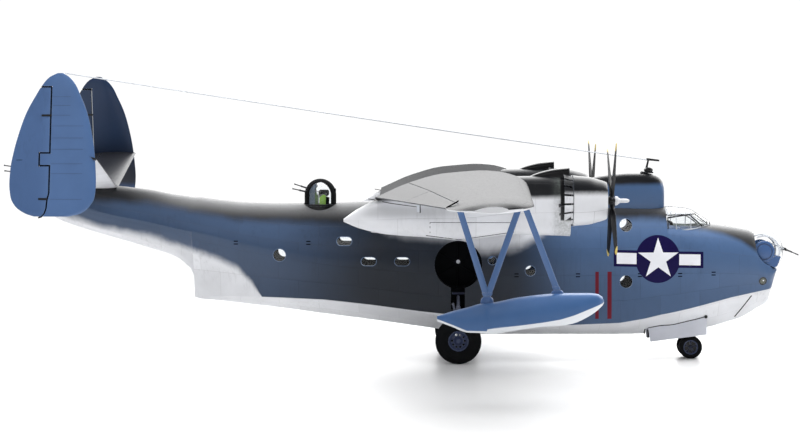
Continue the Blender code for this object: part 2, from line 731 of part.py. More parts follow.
def make_engine(side, parts):
    y = SIDES[side] * NACELLE_Y
    rear = COWL_X[0] - SEAM - 0.2
    crankcase = [
        (0.0, SHAFT_END_X - rear),
        (1.1, SHAFT_END_X - rear),
        (1.5, 12.6),
        (2.6, 11.4),
        (3.4, 9.0),
        (3.9, 6.0),
        (3.9, 1.6),
        (9.2, 1.2),
        (9.2, 0.0),
        (0.0, 0.0),
    ]
    place, turn = (rear, y, THRUST_Z), (0.0, math.pi / 2, 0.0)
    engine = turned("engine_" + side, crankcase, "engine_grey", parts, place, turn, steps=18)

    def make(shape):
        for row, x in enumerate((rear + 4.2, rear + 8.0)):
            for k in range(CYLINDERS):
                angle = 2 * math.pi * (k + 0.5 * row) / CYLINDERS + math.pi / 2
                out = Vector((0, math.cos(angle), math.sin(angle)))
                hub = Vector((x, y, THRUST_Z))
                rod(shape, hub + out * 3.3, hub + out * 8.3, CYLINDER_RADIUS, sides=6)

    fuse(engine, solid_of("cylinders_" + side, make, None, parts))


def blade_rings(angle, y):
    """A propeller blade: a round shank that widens to a thin twisted paddle."""
    stations = (
        (1.5, 0.75, 0.75, 40.0),
        (5.0, 0.8, 0.7, 38.0),
        (9.0, 1.7, 0.5, 28.0),
        (15.0, 2.2, 0.4, 20.0),
        (22.0, 2.25, 0.32, 15.0),
        (28.0, 1.85, 0.25, 12.5),
        (30.6, 1.15, 0.2, 11.5),
        (PROP_RADIUS, 0.4, 0.15, 11.0),
    )
    turn = Matrix.Rotation(angle, 3, "X")
    rings = []
    for radius, half_chord, half_thick, pitch in stations:
        pitch = math.radians(pitch)
        ring = []
        for k in range(6):
            around = 2 * math.pi * k / 6
            chord, thick = half_chord * math.cos(around), half_thick * math.sin(around)
            along = chord * math.sin(pitch) + thick * math.cos(pitch)
            across = chord * math.cos(pitch) - thick * math.sin(pitch)
            point = turn @ Vector((0.0, across, radius))
            ring.append((along, point.y, point.z))
        rings.append(ring)
    return rings


def make_propeller(side, parts):
    y = SIDES[side] * NACELLE_Y
    hub_profile = [
        (0.0, 7.2),
        (0.7, 6.5),
        (0.95, 5.2),
        (0.95, 2.4),
        (1.4, 2.0),
        (1.6, 1.0),
        (1.6, -1.0),
        (1.5, -1.9),
        (0.0, -1.9),
    ]
    place, turn = (PROP_X, y, THRUST_Z), (0.0, math.pi / 2, 0.0)
    hub = turned("propeller_" + side, hub_profile, "black", parts, place, turn, steps=16)
    for k in range(BLADES):
        angle = math.radians(PROP_PHASE[side]) + 2 * math.pi * k / BLADES
        blade = loft(f"blade_{k}_{side}", blade_rings(angle, y), None, parts)
        blade.location = (PROP_X * MM, y * MM, THRUST_Z * MM)
        fuse(hub, blade)


def float_ring(row, y):
    x, width, low, chine, high = row
    half = [(0.0, low), (width, chine), (width, chine + (high - chine) * 0.4)]
    half += [(width * 0.72, chine + (high - chine) * 0.84), (0.0, high)]
    return [(x, y + a, z) for a, z in half] + [(x, y - a, z) for a, z in reversed(half[1:-1])]


def strut_ring(centre, chord, thickness):
    x, y, z = centre
    ring = []
    for k in range(8):
        angle = 2 * math.pi * k / 8
        ring.append((x + chord / 2 * math.cos(angle), y + thickness / 2 * math.sin(angle), z))
    return ring


def make_float(side, wing, parts):
    sign = SIDES[side]
    y = sign * FLOAT_Y
    rings = [float_ring(row, y) for row in FLOAT_LINES]
    body = loft("float_" + side, rings, "sea_blue", parts)
    for label, (low, high, foot_z, top_z) in PEDESTALS.items():
        middle, length = (low + high) / 2, high - low
        foot = [strut_ring((middle, y, z), length, PEDESTAL_WIDTH) for z in (foot_z, top_z - 0.8)]
        foot.append(strut_ring((middle, y, top_z), length * 0.6, PEDESTAL_WIDTH * 0.9))
        fuse(body, loft(f"{label}_pedestal_{side}", foot, None, parts))
        first = None
        for k, (top_x, top_y) in enumerate(STRUT_TOPS[label]):
            base = (middle, y, top_z + SEAM)
            tip = (top_x, y + sign * top_y, STRUT_TOP_Z)
            rings = [strut_ring(end, STRUT_CHORD, STRUT_THICKNESS) for end in (base, tip)]
            if first is None:
                first = loft(f"float_{label}_struts_{side}", rings, "sea_blue", parts)
            else:
                fuse(first, loft(f"second_strut_{side}", rings, None, parts))
        cut(first, wing)


def fin_ring(row, sign, grow=0.0):
    z, le_x, te_x = row
    le_x, te_x = le_x + grow, te_x - grow
    y = sign * (FIN_FOOT[0] - (z - FIN_FOOT[1]) * FIN_LEAN)
    chord = le_x - te_x
    thickness = min(FIN_THICKNESS, 0.14 * chord + 0.35) / 2 + grow
    ring = []
    for share, part in ((0, 0.12), (0.06, 0.6), (0.25, 1.0), (0.6, 0.8), (1.0, 0.12)):
        ring.append((le_x - chord * share, y + thickness * part, z))
    for share, part in ((1.0, 0.12), (0.6, 0.8), (0.25, 1.0), (0.06, 0.6), (0, 0.12)):
        ring.append((le_x - chord * share, y - thickness * part, z))
    return ring


def fin_solid(name, sign, grow, colour, parts):
    rows = list(FIN_OUTLINE)
    if grow:
        rows = [(rows[0][0] - grow, *rows[0][1:]), *rows[1:-1], (rows[-1][0] + grow, *rows[-1][1:])]
    return loft(name, [fin_ring(row, sign, grow) for row in rows], colour, parts)


def rudder_zone(name, margin, parts):
    """Seen from the side: what lies behind the hinge line, below the horn, apart from the hinge block."""
    hinge, top = RUDDER_HINGE_X + margin, RUDDER_TOP_Z + margin
    notch_x, notch_low, notch_high = RUDDER_NOTCH
    outline = (
        (-170, 50),
        (-143.6 + margin, 50),
        (-143.6 + margin, 65.6),
        (-142.6 + margin, 68.6),
        (hinge, 71.5),
        (hinge, notch_low + margin),
        (notch_x + margin, notch_low + margin),
        (notch_x + margin, notch_high - margin),
        (hinge, notch_high - margin),
        (hinge, top),
        (-170, top),
    )
    return solid_of(name, lambda shape: prism(shape, outline, 1, -90, 90), None, parts)


def make_tail(hull, parts):
    inside, outside = rudder_zone("rudder_zone", -SEAM / 2, parts), rudder_zone("rudder_gap", SEAM / 2, parts)
    for side, sign in SIDES.items():
        fin = fin_solid("fin_" + side, sign, 0, "sea_blue", parts)
        cut(fin, outside)
        rudder = fin_solid("rudder_" + side, sign, 0, "sea_blue", parts)
        apply_boolean(rudder, "INTERSECT", inside)
        clearance = fin_solid("fin_clearance_" + side, sign, SEAM, None, parts)
        hinge = (ELEVATOR_HINGE_X, ELEVATOR_HINGE_X)
        zone = surface_zone("elevator_zone_" + side, sign, ELEVATOR_Y, hinge, -160, -SEAM / 2, parts)
        gap = surface_zone("elevator_gap_" + side, sign, ELEVATOR_Y, hinge, -160, SEAM / 2, parts)
        rows = (TAILPLANE_ROOT, TAILPLANE_END)
        plane = wing_panel("tailplane_" + side, rows, sign, 0, "sea_blue", parts)
        cut(plane, hull, clearance, gap)
        elevator = wing_panel("elevator_" + side, rows, sign, 0, "sea_blue", parts)
        cut(elevator, clearance)
        apply_boolean(elevator, "INTERSECT", zone)


def make_radome(hull, parts):
    rings = [oval_ring(x, 0, width, RADOME_FOOT_Z, top, 2.7, 20) for x, width, top in RADOME_LINES]
    radome = loft("radome", rings, "sea_blue", parts)
    cut(radome, hull)


def radome_top_z(x):
    return between([(row[0], row[2]) for row in RADOME_LINES], x, 1)


def make_aerials(parts):
    """A foot plate with the aerial mast, the tube on the mast's head, and the loop aerial's ball."""
    (low, high), half_width, thickness = MAST_PLATE
    foot = radome_top_z((low + high) / 2) + SEAM
    plate = solid_of(
        "aerial_mast",
        lambda shape: box(shape, (low, -half_width, foot), (high, half_width, foot + thickness)),
        "deck_blue",
        parts,
    )
    bars = {
        "mast_post": ((MAST_FOOT_X, foot + thickness / 3), MAST_TOP, 0.5, 0.4),
        "mast_tube": (*MAST_TUBE, 0.45, 0.3),
    }
    for name, ((x0, z0), (x1, z1), near, far) in bars.items():
        ends = ((x0, 0, z0), (x1, 0, z1), near, far)
        fuse(plate, solid_of(name, lambda shape, given=ends: rod(shape, *given, sides=8), None, parts))
    fuse(plate, ball("loop_ball", *LOOP_BALL, parts, across=8, round_steps=12))


def make_canopy(hull, parts):
    def ring(row, inset):
        x, *half = row
        half = [(max(y - inset, 0.0), z - (inset if k > 1 else 0)) for k, (y, z) in enumerate(half)]
        return [(x, y, z) for y, z in half] + [(x, -y, z) for y, z in reversed(half[:-1])]

    frame = loft("cockpit_canopy", [ring(row, 0) for row in CANOPY_LINES], "deck_blue", parts)
    inner_rows = [(row[0] + shift, *row[1:]) for row, shift in zip(CANOPY_LINES, (-2.0, 0, 0, -0.3, -1.6))]
    inside = loft("canopy_space", [ring(row, CANOPY_SKIN) for row in inner_rows], None, parts)

    def panes(shape):
        side_panes = (
            ((116.6, 57.6), (119.1, 57.7), (119.1, 61.2), (116.6, 61.0)),
            ((120.2, 57.7), (125.1, 57.9), (125.1, 61.7), (120.2, 61.3)),
            ((126.3, 58.1), (129.4, 58.6), (127.6, 61.0), (126.3, 61.4)),
        )
        for outline in side_panes:
            prism(shape, outline, 1, -20, 20)
        for low, high in ((116.6, 119.0), (120.3, 125.0)):
            for sign in SIDES.values():
                near, far = sorted((sign * 0.8, sign * 5.6))
                box(shape, (low, near, 62.4), (high, far, 70))

    def windscreen(shape):
        for sign in SIDES.values():
            outline = ((61.4, sign * 0.5), (61.4, sign * 3.8), (59.7, sign * 2.6), (59.7, sign * 0.5))
            near = [(129.0, y, z - 0.4) for z, y in outline]
            far = [(138.0, y, z + 1.4) for z, y in outline]
            skin_rings(shape, [near, far])

    side_cuts = solid_of("canopy_panes", panes, None, parts)
    front_cuts = solid_of("windscreen_panes", windscreen, None, parts)
    cut(frame, inside, hull)
    cut(frame, side_cuts, front_cuts)


def make_cockpit(parts):
    """The cockpit floor with two seats and the instrument panel, which show through the canopy."""
    stations = (116.4, 124.0, 133.0)
    floor_rings = []
    for x in stations:
        width = cabin_y(x, COCKPIT_FLOOR_Z) - SEAM - 0.5
        ring = [(x, -width, COCKPIT_FLOOR_Z - 1.0), (x, width, COCKPIT_FLOOR_Z - 1.0)]
        floor_rings.append(ring + [(x, width, COCKPIT_FLOOR_Z), (x, -width, COCKPIT_FLOOR_Z)])
    floor = loft("cockpit_floor_and_seats", floor_rings, "interior_green", parts)

    def panel(shape):
        box(shape, (128.6, -5.2, COCKPIT_FLOOR_Z - 0.3), (129.8, 5.2, 56.6))

    def seats(shape):
        for y in (-4.4, 4.4):
            box(shape, (117.6, y - 2.6, COCKPIT_FLOOR_Z - 0.4), (122.4, y + 2.6, 51.6))

    def backs(shape):
        for y in (-4.4, 4.4):
            box(shape, (117.4, y - 2.4, 51.0), (118.6, y + 2.4, 60.2))

    for name, make in {"panel_block": panel, "seat_blocks": seats, "seat_backs": backs}.items():
        fuse(floor, solid_of(name, make, None, parts))


def barrel(name, start, end, parts, radius=0.45):
    return solid_of(name, lambda shape: rod(shape, start, end, radius, radius * 0.8, sides=8), None, parts)


def dome_arc(radius, height):
    """Half a dome's section above its straight wall, from the crown down, as (radius, height) points."""
    angles = [math.pi / 2 * (DOME_STEPS - k) / DOME_STEPS for k in range(DOME_STEPS + 1)]
    rise = height - DOME_WALL_HEIGHT
    arc = [(radius * math.cos(a), DOME_WALL_HEIGHT + rise * math.sin(a)) for a in angles]
    return [(0.0, arc[0][1])] + arc[1:]


def make_dorsal_turret(parts):
    x = DORSAL_CENTRE_X
    seat = DORSAL_SEAT_Z + SEAM
    rim = DORSAL_RIM_Z - seat
    floor = rim - 0.6
    base_profile = [(0.0, floor), (6.0, floor), (6.0, rim)]
    base_profile += [(DORSAL_RADIUS, rim), (DORSAL_RADIUS, 0.0), (0.0, 0.0)]
    base = turned("dorsal_turret_base", base_profile, "black", parts, (x, 0, seat), steps=24)

    def seat_block(shape):
        box(shape, (x - 2.2, -4.0, 65.0), (x + 1.2, 4.0, 70.6))

    def breeches(shape):
        for y in DORSAL_GUN_Y:
            box(shape, (x - 1.2, y - 0.8, 70.2), (x + 3.8, y + 0.8, 72.6))

    def nub(shape):
        rod(shape, (x + 2.0, 0, 71.0), (x + 5.4, 0, 72.4), 0.7, sides=10)
        rod(shape, (x + 2.0, -2.4, 71.0), (x + 2.0, 2.4, 71.0), 0.5, sides=8)

    for name, make in {"dorsal_seat": seat_block, "dorsal_breeches": breeches, "dorsal_nub": nub}.items():
        fuse(base, solid_of(name, make, None, parts))
    port, starboard = DORSAL_GUN_Y
    fuse(base, barrel("dorsal_gun_port", (x + 1.0, port, 71.8), (x - 11.5, port, 75.5), parts))
    fuse(base, barrel("dorsal_gun_starboard", (x + 1.0, starboard, 70.9), (x - 12.1, starboard, 73.8), parts))
    glass_foot = DORSAL_RIM_Z + 0.1
    height = DORSAL_TOP_Z - glass_foot
    inner_radius = DORSAL_RADIUS - DOME_THICKNESS
    profile = dome_arc(DORSAL_RADIUS, height) + [(DORSAL_RADIUS, 0.0), (inner_radius, 0.0)]
    profile += list(reversed(dome_arc(inner_radius, height - DOME_THICKNESS)))
    glass = turned("dorsal_turret_dome", profile, "clear", parts, (x, 0, glass_foot), steps=24)

    def gun_slots(shape):
        for y in DORSAL_GUN_Y:
            box(shape, (x - 9, y - 0.9, 72.0), (x - 2, y + 0.9, 76.2))

    cut(glass, solid_of("dorsal_gun_slots", gun_slots, None, parts))


def make_ball_turret(label, centre, radius, facing, guns, parts):
    """A ball turret: a clear shell between two side cheeks that carry the guns' cross beam."""
    x, z = centre
    glass = ball(label + "_turret_glass", centre, radius, parts, colour="clear", across=12)
    hollow = ball(label + "_turret_space", centre, radius - 0.7, parts, across=12)

    def sides(shape):
        for sign in SIDES.values():
            near, far = sorted((sign * radius * 0.62, sign * 20))
            box(shape, (x - 15, near, z - 15), (x + 15, far, z + 15))

    def back(shape):
        low, high = sorted((x - facing * 4.5, x - facing * 30))
        box(shape, (low, -25, z - 20), (high, 25, z + 20))

    cut(glass, hollow)
    cut(glass, solid_of(label + "_sides", sides, None, parts), solid_of(label + "_back", back, None, parts))
    reach = radius * 0.62 + SEAM
    end = reach + 1.0

    def beam(shape):
        rod(shape, (x, -end, z), (x, end, z), 1.6)

    def cheeks(shape):
        for sign in SIDES.values():
            near, far = (x, sign * reach, z), (x, sign * (reach + 1.2), z)
            rod(shape, near, far, radius * 0.5, radius * 0.36, sides=20)

    mount = solid_of(label + "_turret_mount", beam, "sea_blue", parts)
    fuse(mount, solid_of(label + "_cheeks", cheeks, None, parts))
    for k, (start, end) in enumerate(guns):
        gun = barrel(f"{label}_gun_{k}", start, end, parts, radius=0.42)
        back = Vector(start) - (Vector(end) - Vector(start)).normalized() * 1.5
        low, high = back - Vector((1.6, 0.8, 1.8)), back + Vector((1.6, 0.8, 0.9))
        low.z = min(low.z, z)
        gun_block = solid_of(f"{label}_breech_{k}", lambda s, a=low, b=high: box(s, a, b), None, parts)
        line = (start, end, 0.8)
        hole = solid_of(f"{label}_gun_hole_{k}", lambda shape, given=line: rod(shape, *given), None, parts)
        cut(glass, hole)
        fuse(mount, gun, gun_block)


def make_turrets(parts):
    make_dorsal_turret(parts)
    make_ball_turret("bow", BOW_BALL, BOW_BALL_RADIUS, 1, BOW_GUNS, parts)
    make_ball_turret("tail", TAIL_BALL, TAIL_BALL_RADIUS, -1, TAIL_GUNS, parts)


def tyre_and_hub(radius, width, hub_radius, bore_radius, bore_depth):
    """Half a wheel's section as (radius, height) points. The bore opens inboard, at the negative heights."""
    half = width / 2
    shoulder = radius - hub_radius
    return [
        (0.0, half * 0.45),
        (hub_radius * 0.35, half * 0.5),
        (hub_radius * 0.8, half * 0.35),
        (hub_radius, half * 0.8),
        (hub_radius + shoulder * 0.35, half),
        (hub_radius + shoulder * 0.75, half * 0.85),
        (radius, half * 0.4),
        (radius, -half * 0.4),
        (hub_radius + shoulder * 0.75, -half * 0.85),
        (hub_radius + shoulder * 0.35, -half),
        (hub_radius, -half * 0.8),
        (hub_radius * 0.8, -half * 0.4),
        (bore_radius, -half * 0.5),
        (bore_radius, -half * 0.5 + bore_depth),
        (0.0, -half * 0.5 + bore_depth),
    ]


def hub_holes(name, centre, reach, sign, parts):
    """Shallow round holes in the outboard face of a main wheel's hub."""
    x, y, z = centre

    def make(shape):
        for k in range(HUB_HOLES):
            angle = 2 * math.pi * k / HUB_HOLES
            spot = (x + reach * math.cos(angle), z + reach * math.sin(angle))
            rod(shape, (spot[0], y + sign * 0.6, spot[1]), (spot[0], y + sign * 4.0, spot[1]), 0.5, sides=6)

    return solid_of(name, make, None, parts)


def make_main_gear(side, parts):
    sign = SIDES[side]
    x, y, z = MAIN_WHEEL
    bore = AXLE_RADIUS + AXLE_PLAY
    profile = tyre_and_hub(MAIN_TYRE_RADIUS, MAIN_TYRE_WIDTH, MAIN_HUB_RADIUS, bore, 1.6)
    place, turn = (x, sign * y, z), (-sign * math.pi / 2, 0, 0)
    wheel = turned("main_wheel_" + side, profile, "rubber", parts, place, turn, steps=28)
    cut(wheel, hub_holes("hub_holes_" + side, place, HUB_HOLE_RADIUS, sign, parts))
    leg_y = MAIN_LEG_Y
    leg = solid_of(
        "main_leg_" + side,
        lambda s: rod(s, (x, sign * leg_y, z - 1.0), (x, sign * leg_y, 24.4), MAIN_LEG_RADIUS),
        "primer_grey",
        parts,
    )
    pieces = {
        "axle": ((x, sign * (leg_y - 0.4), z), (x, sign * (y - MAIN_TYRE_WIDTH / 4 + 1.1), z), AXLE_RADIUS),
        "leg_head": ((x, sign * leg_y, 23.9), (x, sign * 18.4, 27.6), MAIN_LEG_RADIUS * 1.1),
        "drag_brace": ((x, sign * leg_y, 15.5), (x - 2.2, sign * leg_y, 25.2), 0.5),
        "brace_pivot": ((x - 2.2, sign * (leg_y + 0.6), 25.0), (x - 2.2, sign * 17.8, 25.0), 0.6),
    }
    for label, ends in pieces.items():
        bar = solid_of(f"{label}_{side}", lambda shape, given=ends: rod(shape, *given, sides=10), None, parts)
        fuse(leg, bar)


def make_nose_gear(hull, parts):
    x, z = NOSE_AXLE
    axle = AXLE_RADIUS * 0.8
    outer = tyre_and_hub(NOSE_TYRE_RADIUS, NOSE_TYRE_WIDTH, NOSE_HUB_RADIUS, axle, 0.0)[:-2]
    outer = [(radius, height + NOSE_WHEEL_Y) for radius, height in outer]
    mirrored = [(radius, -height) for radius, height in reversed(outer)]
    turned("nose_wheels", outer + mirrored, "rubber", parts, (x, 0, z), (-math.pi / 2, 0, 0), steps=20)
    top = (x - 3.4, 0, BAY_ROOF_Z - SEAM)
    leg = solid_of("nose_leg", lambda s: rod(s, top, (x, 0, z), 1.1, sides=10), "primer_grey", parts)
    eye = solid_of("nose_leg_eye", lambda s: rod(s, (x, -1.7, z), (x, 1.7, z), 1.9, sides=14), None, parts)
    bore = solid_of("nose_leg_bore", lambda s: rod(s, (x, -4, z), (x, 4, z), axle + AXLE_PLAY), None, parts)
    fuse(leg, eye)
    cut(leg, bore)
    outline = (DOOR_BOTTOM[0], DOOR_BOTTOM[1], DOOR_TOP[1], DOOR_TOP[0])
    for side, sign in SIDES.items():
        inside = BAY_HALF_WIDTH + 0.1
        faces = sorted((sign * inside, sign * (inside + DOOR_THICKNESS)))
        plate = (outline, 1, *faces)
        door = solid_of("nose_door_" + side, lambda s, given=plate: prism(s, *given), "sea_blue", parts)
        cut(door, hull)


def build():
    start_empty_scene()
    parts = {
        "model": new_collection(MODEL_NAME),
        "cutters": new_collection("cutters", hidden=True),
        "materials": {name: principled(name) for name in COLOURS},
    }
    make_hull(parts)
    hull = hull_clearance(parts)
    for side in SIDES:
        wing = make_wing(side, hull, parts)
        make_nacelle(side, wing, parts)
        y = SIDES[side] * NACELLE_Y
        place, turn = (COWL_X[0], y, THRUST_Z), (0, math.pi / 2, 0)
        turned("cowl_" + side, cowl_profile(), "sea_blue", parts, place, turn, steps=28)
        make_cowl_flaps(side, parts)
        make_engine(side, parts)
        make_propeller(side, parts)
        make_float(side, wing, parts)
        make_main_gear(side, parts)
    make_nose_gear(hull, parts)
    make_tail(hull, parts)
    make_radome(hull, parts)
    make_aerials(parts)
    make_canopy(hull, parts)
    make_cockpit(parts)
    make_turrets(parts)


build()
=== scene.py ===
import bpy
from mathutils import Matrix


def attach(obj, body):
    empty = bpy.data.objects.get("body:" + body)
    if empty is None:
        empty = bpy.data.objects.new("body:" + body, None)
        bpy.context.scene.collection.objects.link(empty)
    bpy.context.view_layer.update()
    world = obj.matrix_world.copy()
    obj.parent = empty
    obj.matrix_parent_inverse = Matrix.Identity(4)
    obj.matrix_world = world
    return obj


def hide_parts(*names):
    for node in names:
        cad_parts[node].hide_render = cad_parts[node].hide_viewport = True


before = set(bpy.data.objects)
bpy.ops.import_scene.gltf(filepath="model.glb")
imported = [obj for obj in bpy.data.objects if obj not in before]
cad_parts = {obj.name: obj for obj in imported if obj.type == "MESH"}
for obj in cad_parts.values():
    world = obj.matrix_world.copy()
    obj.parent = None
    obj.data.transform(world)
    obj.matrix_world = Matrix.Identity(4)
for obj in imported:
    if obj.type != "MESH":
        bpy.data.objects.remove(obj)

"""Looks of a 1:72 display model of a gull-winged patrol flying boat, in the frame of its CAD solids.

Shapes are written in millimetres and become metres where a mesh is made. +X is forward, +Y is port,
+Z is up, and the floor is Z = 0. Every piece rides on the body of the solid that it stands for.
"""

from math import ceil, copysign, cos, hypot, pi, radians, sin, sqrt

import bmesh
import bpy
import numpy as np
from mathutils import Matrix, Vector

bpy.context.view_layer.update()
MM = 0.001
SIDES = {"port": 1, "starboard": -1}
ALONG_X, ALONG_Y, ALONG_Z = (1, 0, 0), (0, 1, 0), (0, 0, 1)

# Camera

CAMERA_PLACE = (0.0124, -0.980, 0.1077)
CAMERA_TURN = (radians(87.105), 0.0, radians(0.711))
CAMERA_LENS = 101.43


def make_camera():
    data = bpy.data.cameras.new("camera")
    data.sensor_width = 36.0
    data.lens = CAMERA_LENS
    data.clip_start, data.clip_end = 0.01, 50.0
    camera = bpy.data.objects.new("camera", data)
    camera.location = CAMERA_PLACE
    camera.rotation_euler = CAMERA_TURN
    bpy.context.scene.collection.objects.link(camera)
    bpy.context.scene.camera = camera


make_camera()

# Tables of lines

# X, keel Z, chine Z and half beam, waist Z and half beam, deck Z, how square the deck is.
HULL_LINES = (
    (-157.0, 66.0, 67.6, 2.6, 72.5, 4.6, 79.0, 2.0),
    (-149.0, 60.6, 62.6, 3.2, 69.0, 6.0, 78.0, 1.9),
    (-135.0, 55.6, 58.0, 4.4, 65.0, 8.0, 76.2, 1.8),
    (-122.0, 51.8, 54.4, 5.4, 62.0, 9.8, 74.7, 1.7),
    (-108.5, 47.8, 50.8, 6.0, 59.5, 11.6, 73.1, 1.7),
    (-97.3, 44.0, 47.0, 5.0, 57.0, 13.0, 71.0, 1.65),
    (-92.5, 40.3, 42.5, 2.6, 56.0, 13.5, 70.4, 1.65),
    (-89.6, 35.8, 37.0, 1.0, 55.4, 13.8, 70.0, 1.65),
    (-89.2, 26.2, 27.0, 0.8, 55.3, 13.9, 70.0, 1.65),
    (-78.5, 24.9, 27.2, 5.6, 53.0, 15.0, 68.9, 1.65),
    (-66.6, 23.5, 27.4, 10.6, 50.0, 16.2, 67.8, 1.65),
    (-51.0, 21.7, 27.3, 15.6, 47.0, 17.6, 67.4, 1.65),
    (-32.6, 19.2, 26.7, 18.6, 44.0, 19.0, 67.5, 1.65),
    (-12.0, 16.6, 24.6, 20.2, 42.0, 20.1, 68.2, 1.7),
    (9.0, 13.7, 21.7, 20.8, 40.5, 20.6, 68.2, 1.75),
    (18.0, 12.5, 19.9, 20.8, 40.3, 20.6, 68.1, 1.77),
    (29.8, 11.4, 18.4, 20.9, 40.0, 20.7, 68.0, 1.8),
    (30.0, 10.3, 17.6, 20.9, 40.0, 20.7, 68.0, 1.8),
    (50.0, 10.3, 16.6, 20.9, 40.0, 20.7, 67.6, 1.9),
    (71.5, 10.3, 16.0, 20.7, 40.0, 20.3, 67.0, 2.0),
    (94.2, 10.3, 16.9, 20.0, 40.0, 19.4, 66.4, 2.1),
    (104.6, 10.5, 18.6, 19.2, 40.0, 18.8, 66.0, 2.2),
    (114.9, 11.4, 20.8, 18.0, 40.0, 18.0, 65.9, 2.2),
    (115.1, 11.4, 20.8, 18.0, 40.0, 18.0, 59.4, 3.0),
    (125.0, 12.4, 22.9, 16.4, 40.0, 16.8, 59.0, 2.8),
    (134.1, 13.5, 25.1, 14.4, 39.5, 15.2, 58.5, 2.5),
    (143.1, 16.0, 27.3, 12.0, 39.0, 13.2, 57.3, 2.4),
    (148.5, 17.8, 28.3, 10.3, 38.5, 11.8, 56.3, 2.4),
    (153.4, 20.6, 29.2, 8.5, 38.0, 10.3, 54.8, 2.4),
    (155.0, 21.7, 29.5, 7.9, 37.5, 9.8, 49.6, 2.6),
    (160.1, 25.3, 30.4, 5.6, 36.5, 7.6, 43.0, 2.6),
    (161.4, 29.8, 32.6, 4.6, 36.6, 6.8, 41.4, 2.6),
    (163.2, 37.4, 37.9, 3.6, 38.5, 5.2, 39.6, 2.6),
)
KEEL_FLAT_HALF_WIDTH = 1.6
SKIN = 1.0
AFT_FLOOR = (
    (-138.0, 59.0), (-108.0, 50.5), (-92.0, 45.0), (-84.0, 38.5), (-74.0, 30.0), (-60.0, 25.5), (8.0, 17.0)
)
FORWARD_FLOOR = ((37.0, 27.0), (120.0, 27.0), (147.0, 31.0))
ROUND_WINDOWS = (
    (97.2, 58.4, 2.7), (97.0, 34.5, 2.7), (-51.2, 45.6, 2.7), (56.1, 39.2, 2.2), (39.9, 43.6, 1.8)
)
LONG_WINDOWS = ((-23.4, 51.6), (-12.9, 43.1), (1.4, 43.1))
LONG_WINDOW_SIZE = (6.5, 3.6)
BOW_LIGHT = (156.9, 34.0, 1.7)
WELL_CENTRE = (25.4, 41.7)
WELL_RADIUS = 10.2
WELL_BOTTOM_Y = 12.0
DORSAL_X = -34.4
DORSAL_RADIUS = 6.8
DORSAL_TOP_Z = 77.8
DORSAL_DOME_Z = 70.7
DORSAL_SEAT_Z = 60.5

WING_ROOT = (7.0, 55.6, 56.6, -12.6, 51.6, 12.8)
WING_BREAK = (57.0, 53.4, 76.4, -9.1, 71.9, 12.4)
WING_OUTER = (230.0, 47.8, 75.7, 18.1, 74.9, 4.4)
WING_TIP = (
    (238.5, 46.3, 75.6, 19.1, 74.7, 3.9),
    (245.5, 43.4, 75.4, 22.0, 74.7, 3.1),
    (249.75, 38.6, 75.2, 27.2, 74.8, 1.8),
)
UPPER_SHARE = 0.65
FOIL_FORM = (
    (0.0, 0.0, 0.0),
    (0.025, 0.34, 0.42),
    (0.09, 0.62, 0.7),
    (0.2, 0.88, 0.94),
    (0.35, 1.0, 1.0),
    (0.55, 0.97, 0.86),
    (0.78, 0.62, 0.46),
    (1.0, 0.0, 0.0),
)
TRAILING_THICKNESS = 0.35
FLAP_Y = (58.5, 136.8)
AILERON_Y = (137.2, 230.0)
HINGE_X = {58.5: 4.6, 136.8: 13.4, 137.2: 13.4, 230.0: 22.6}
SEAM = 0.3

FLOAT_LINES = (
    (15.7, 0.5, 31.3, 32.2, 33.2),
    (21.0, 2.8, 29.4, 30.4, 34.9),
    (26.5, 4.2, 27.3, 28.3, 36.3),
    (33.6, 5.2, 26.9, 28.2, 38.0),
    (33.8, 5.3, 26.6, 28.9, 38.0),
    (45.2, 5.9, 28.2, 30.3, 40.0),
    (54.0, 6.1, 29.4, 31.5, 41.1),
    (60.0, 5.8, 29.7, 32.5, 41.6),
    (65.0, 5.5, 30.6, 34.0, 41.6),
    (70.8, 4.6, 33.3, 36.3, 41.6),
    (74.0, 3.2, 35.6, 37.5, 41.2),
    (75.5, 1.8, 37.1, 38.1, 40.2),
    (76.0, 0.6, 38.0, 38.4, 38.9),
)

NACELLE_Y = 57.0
THRUST_Z = 70.6
PROP_X = 87.7
PROP_RADIUS = 31.3
PROP_PHASE = {"port": 46.0, "starboard": 40.5}

# Curves through tables


def even_slopes(x, y):
    """Slopes at the points of a table for a curve that never overshoots it."""
    gaps, rises = np.diff(x), np.diff(y) / np.diff(x)
    slopes = np.zeros_like(y)
    slopes[0], slopes[-1] = rises[0], rises[-1]
    for i in range(1, len(x) - 1):
        before, after = rises[i - 1], rises[i]
        if before * after > 0:
            near, far = 2 * gaps[i] + gaps[i - 1], gaps[i] + 2 * gaps[i - 1]
            slopes[i] = (near + far) / (near / before + far / after)
    return slopes


def read_curve(table, at):
    """Smooth rows of a table at new values of its first column."""
    table = np.array(table, float)
    if table[0, 0] > table[-1, 0]:
        table = table[::-1]
    x, at = table[:, 0], np.clip(np.array(at, float), table[0, 0], table[-1, 0])
    spot = np.clip(np.searchsorted(x, at, side="right") - 1, 0, len(x) - 2)
    gap = x[spot + 1] - x[spot]
    t = (at - x[spot]) / gap
    rows = np.empty((len(at), table.shape[1]))
    rows[:, 0] = at
    for column in range(1, table.shape[1]):
        y = table[:, column]
        slope = even_slopes(x, y)
        rows[:, column] = (
            (1 + 2 * t) * (1 - t) ** 2 * y[spot]
            + t * (1 - t) ** 2 * gap * slope[spot]
            + t * t * (3 - 2 * t) * y[spot + 1]
            + t * t * (t - 1) * gap * slope[spot + 1]
        )
    return rows


def spaced(values, most):
    """The values with more put between them, so that no step is longer than most."""
    found = []
    for low, high in zip(values, values[1:]):
        found += list(np.linspace(low, high, max(1, ceil(abs(high - low) / most)), endpoint=False))
    return found + [values[-1]]


def rows_every(table, most):
    """Smooth rows of a table, no further apart than most."""
    return read_curve(table, spaced([row[0] for row in table], most))


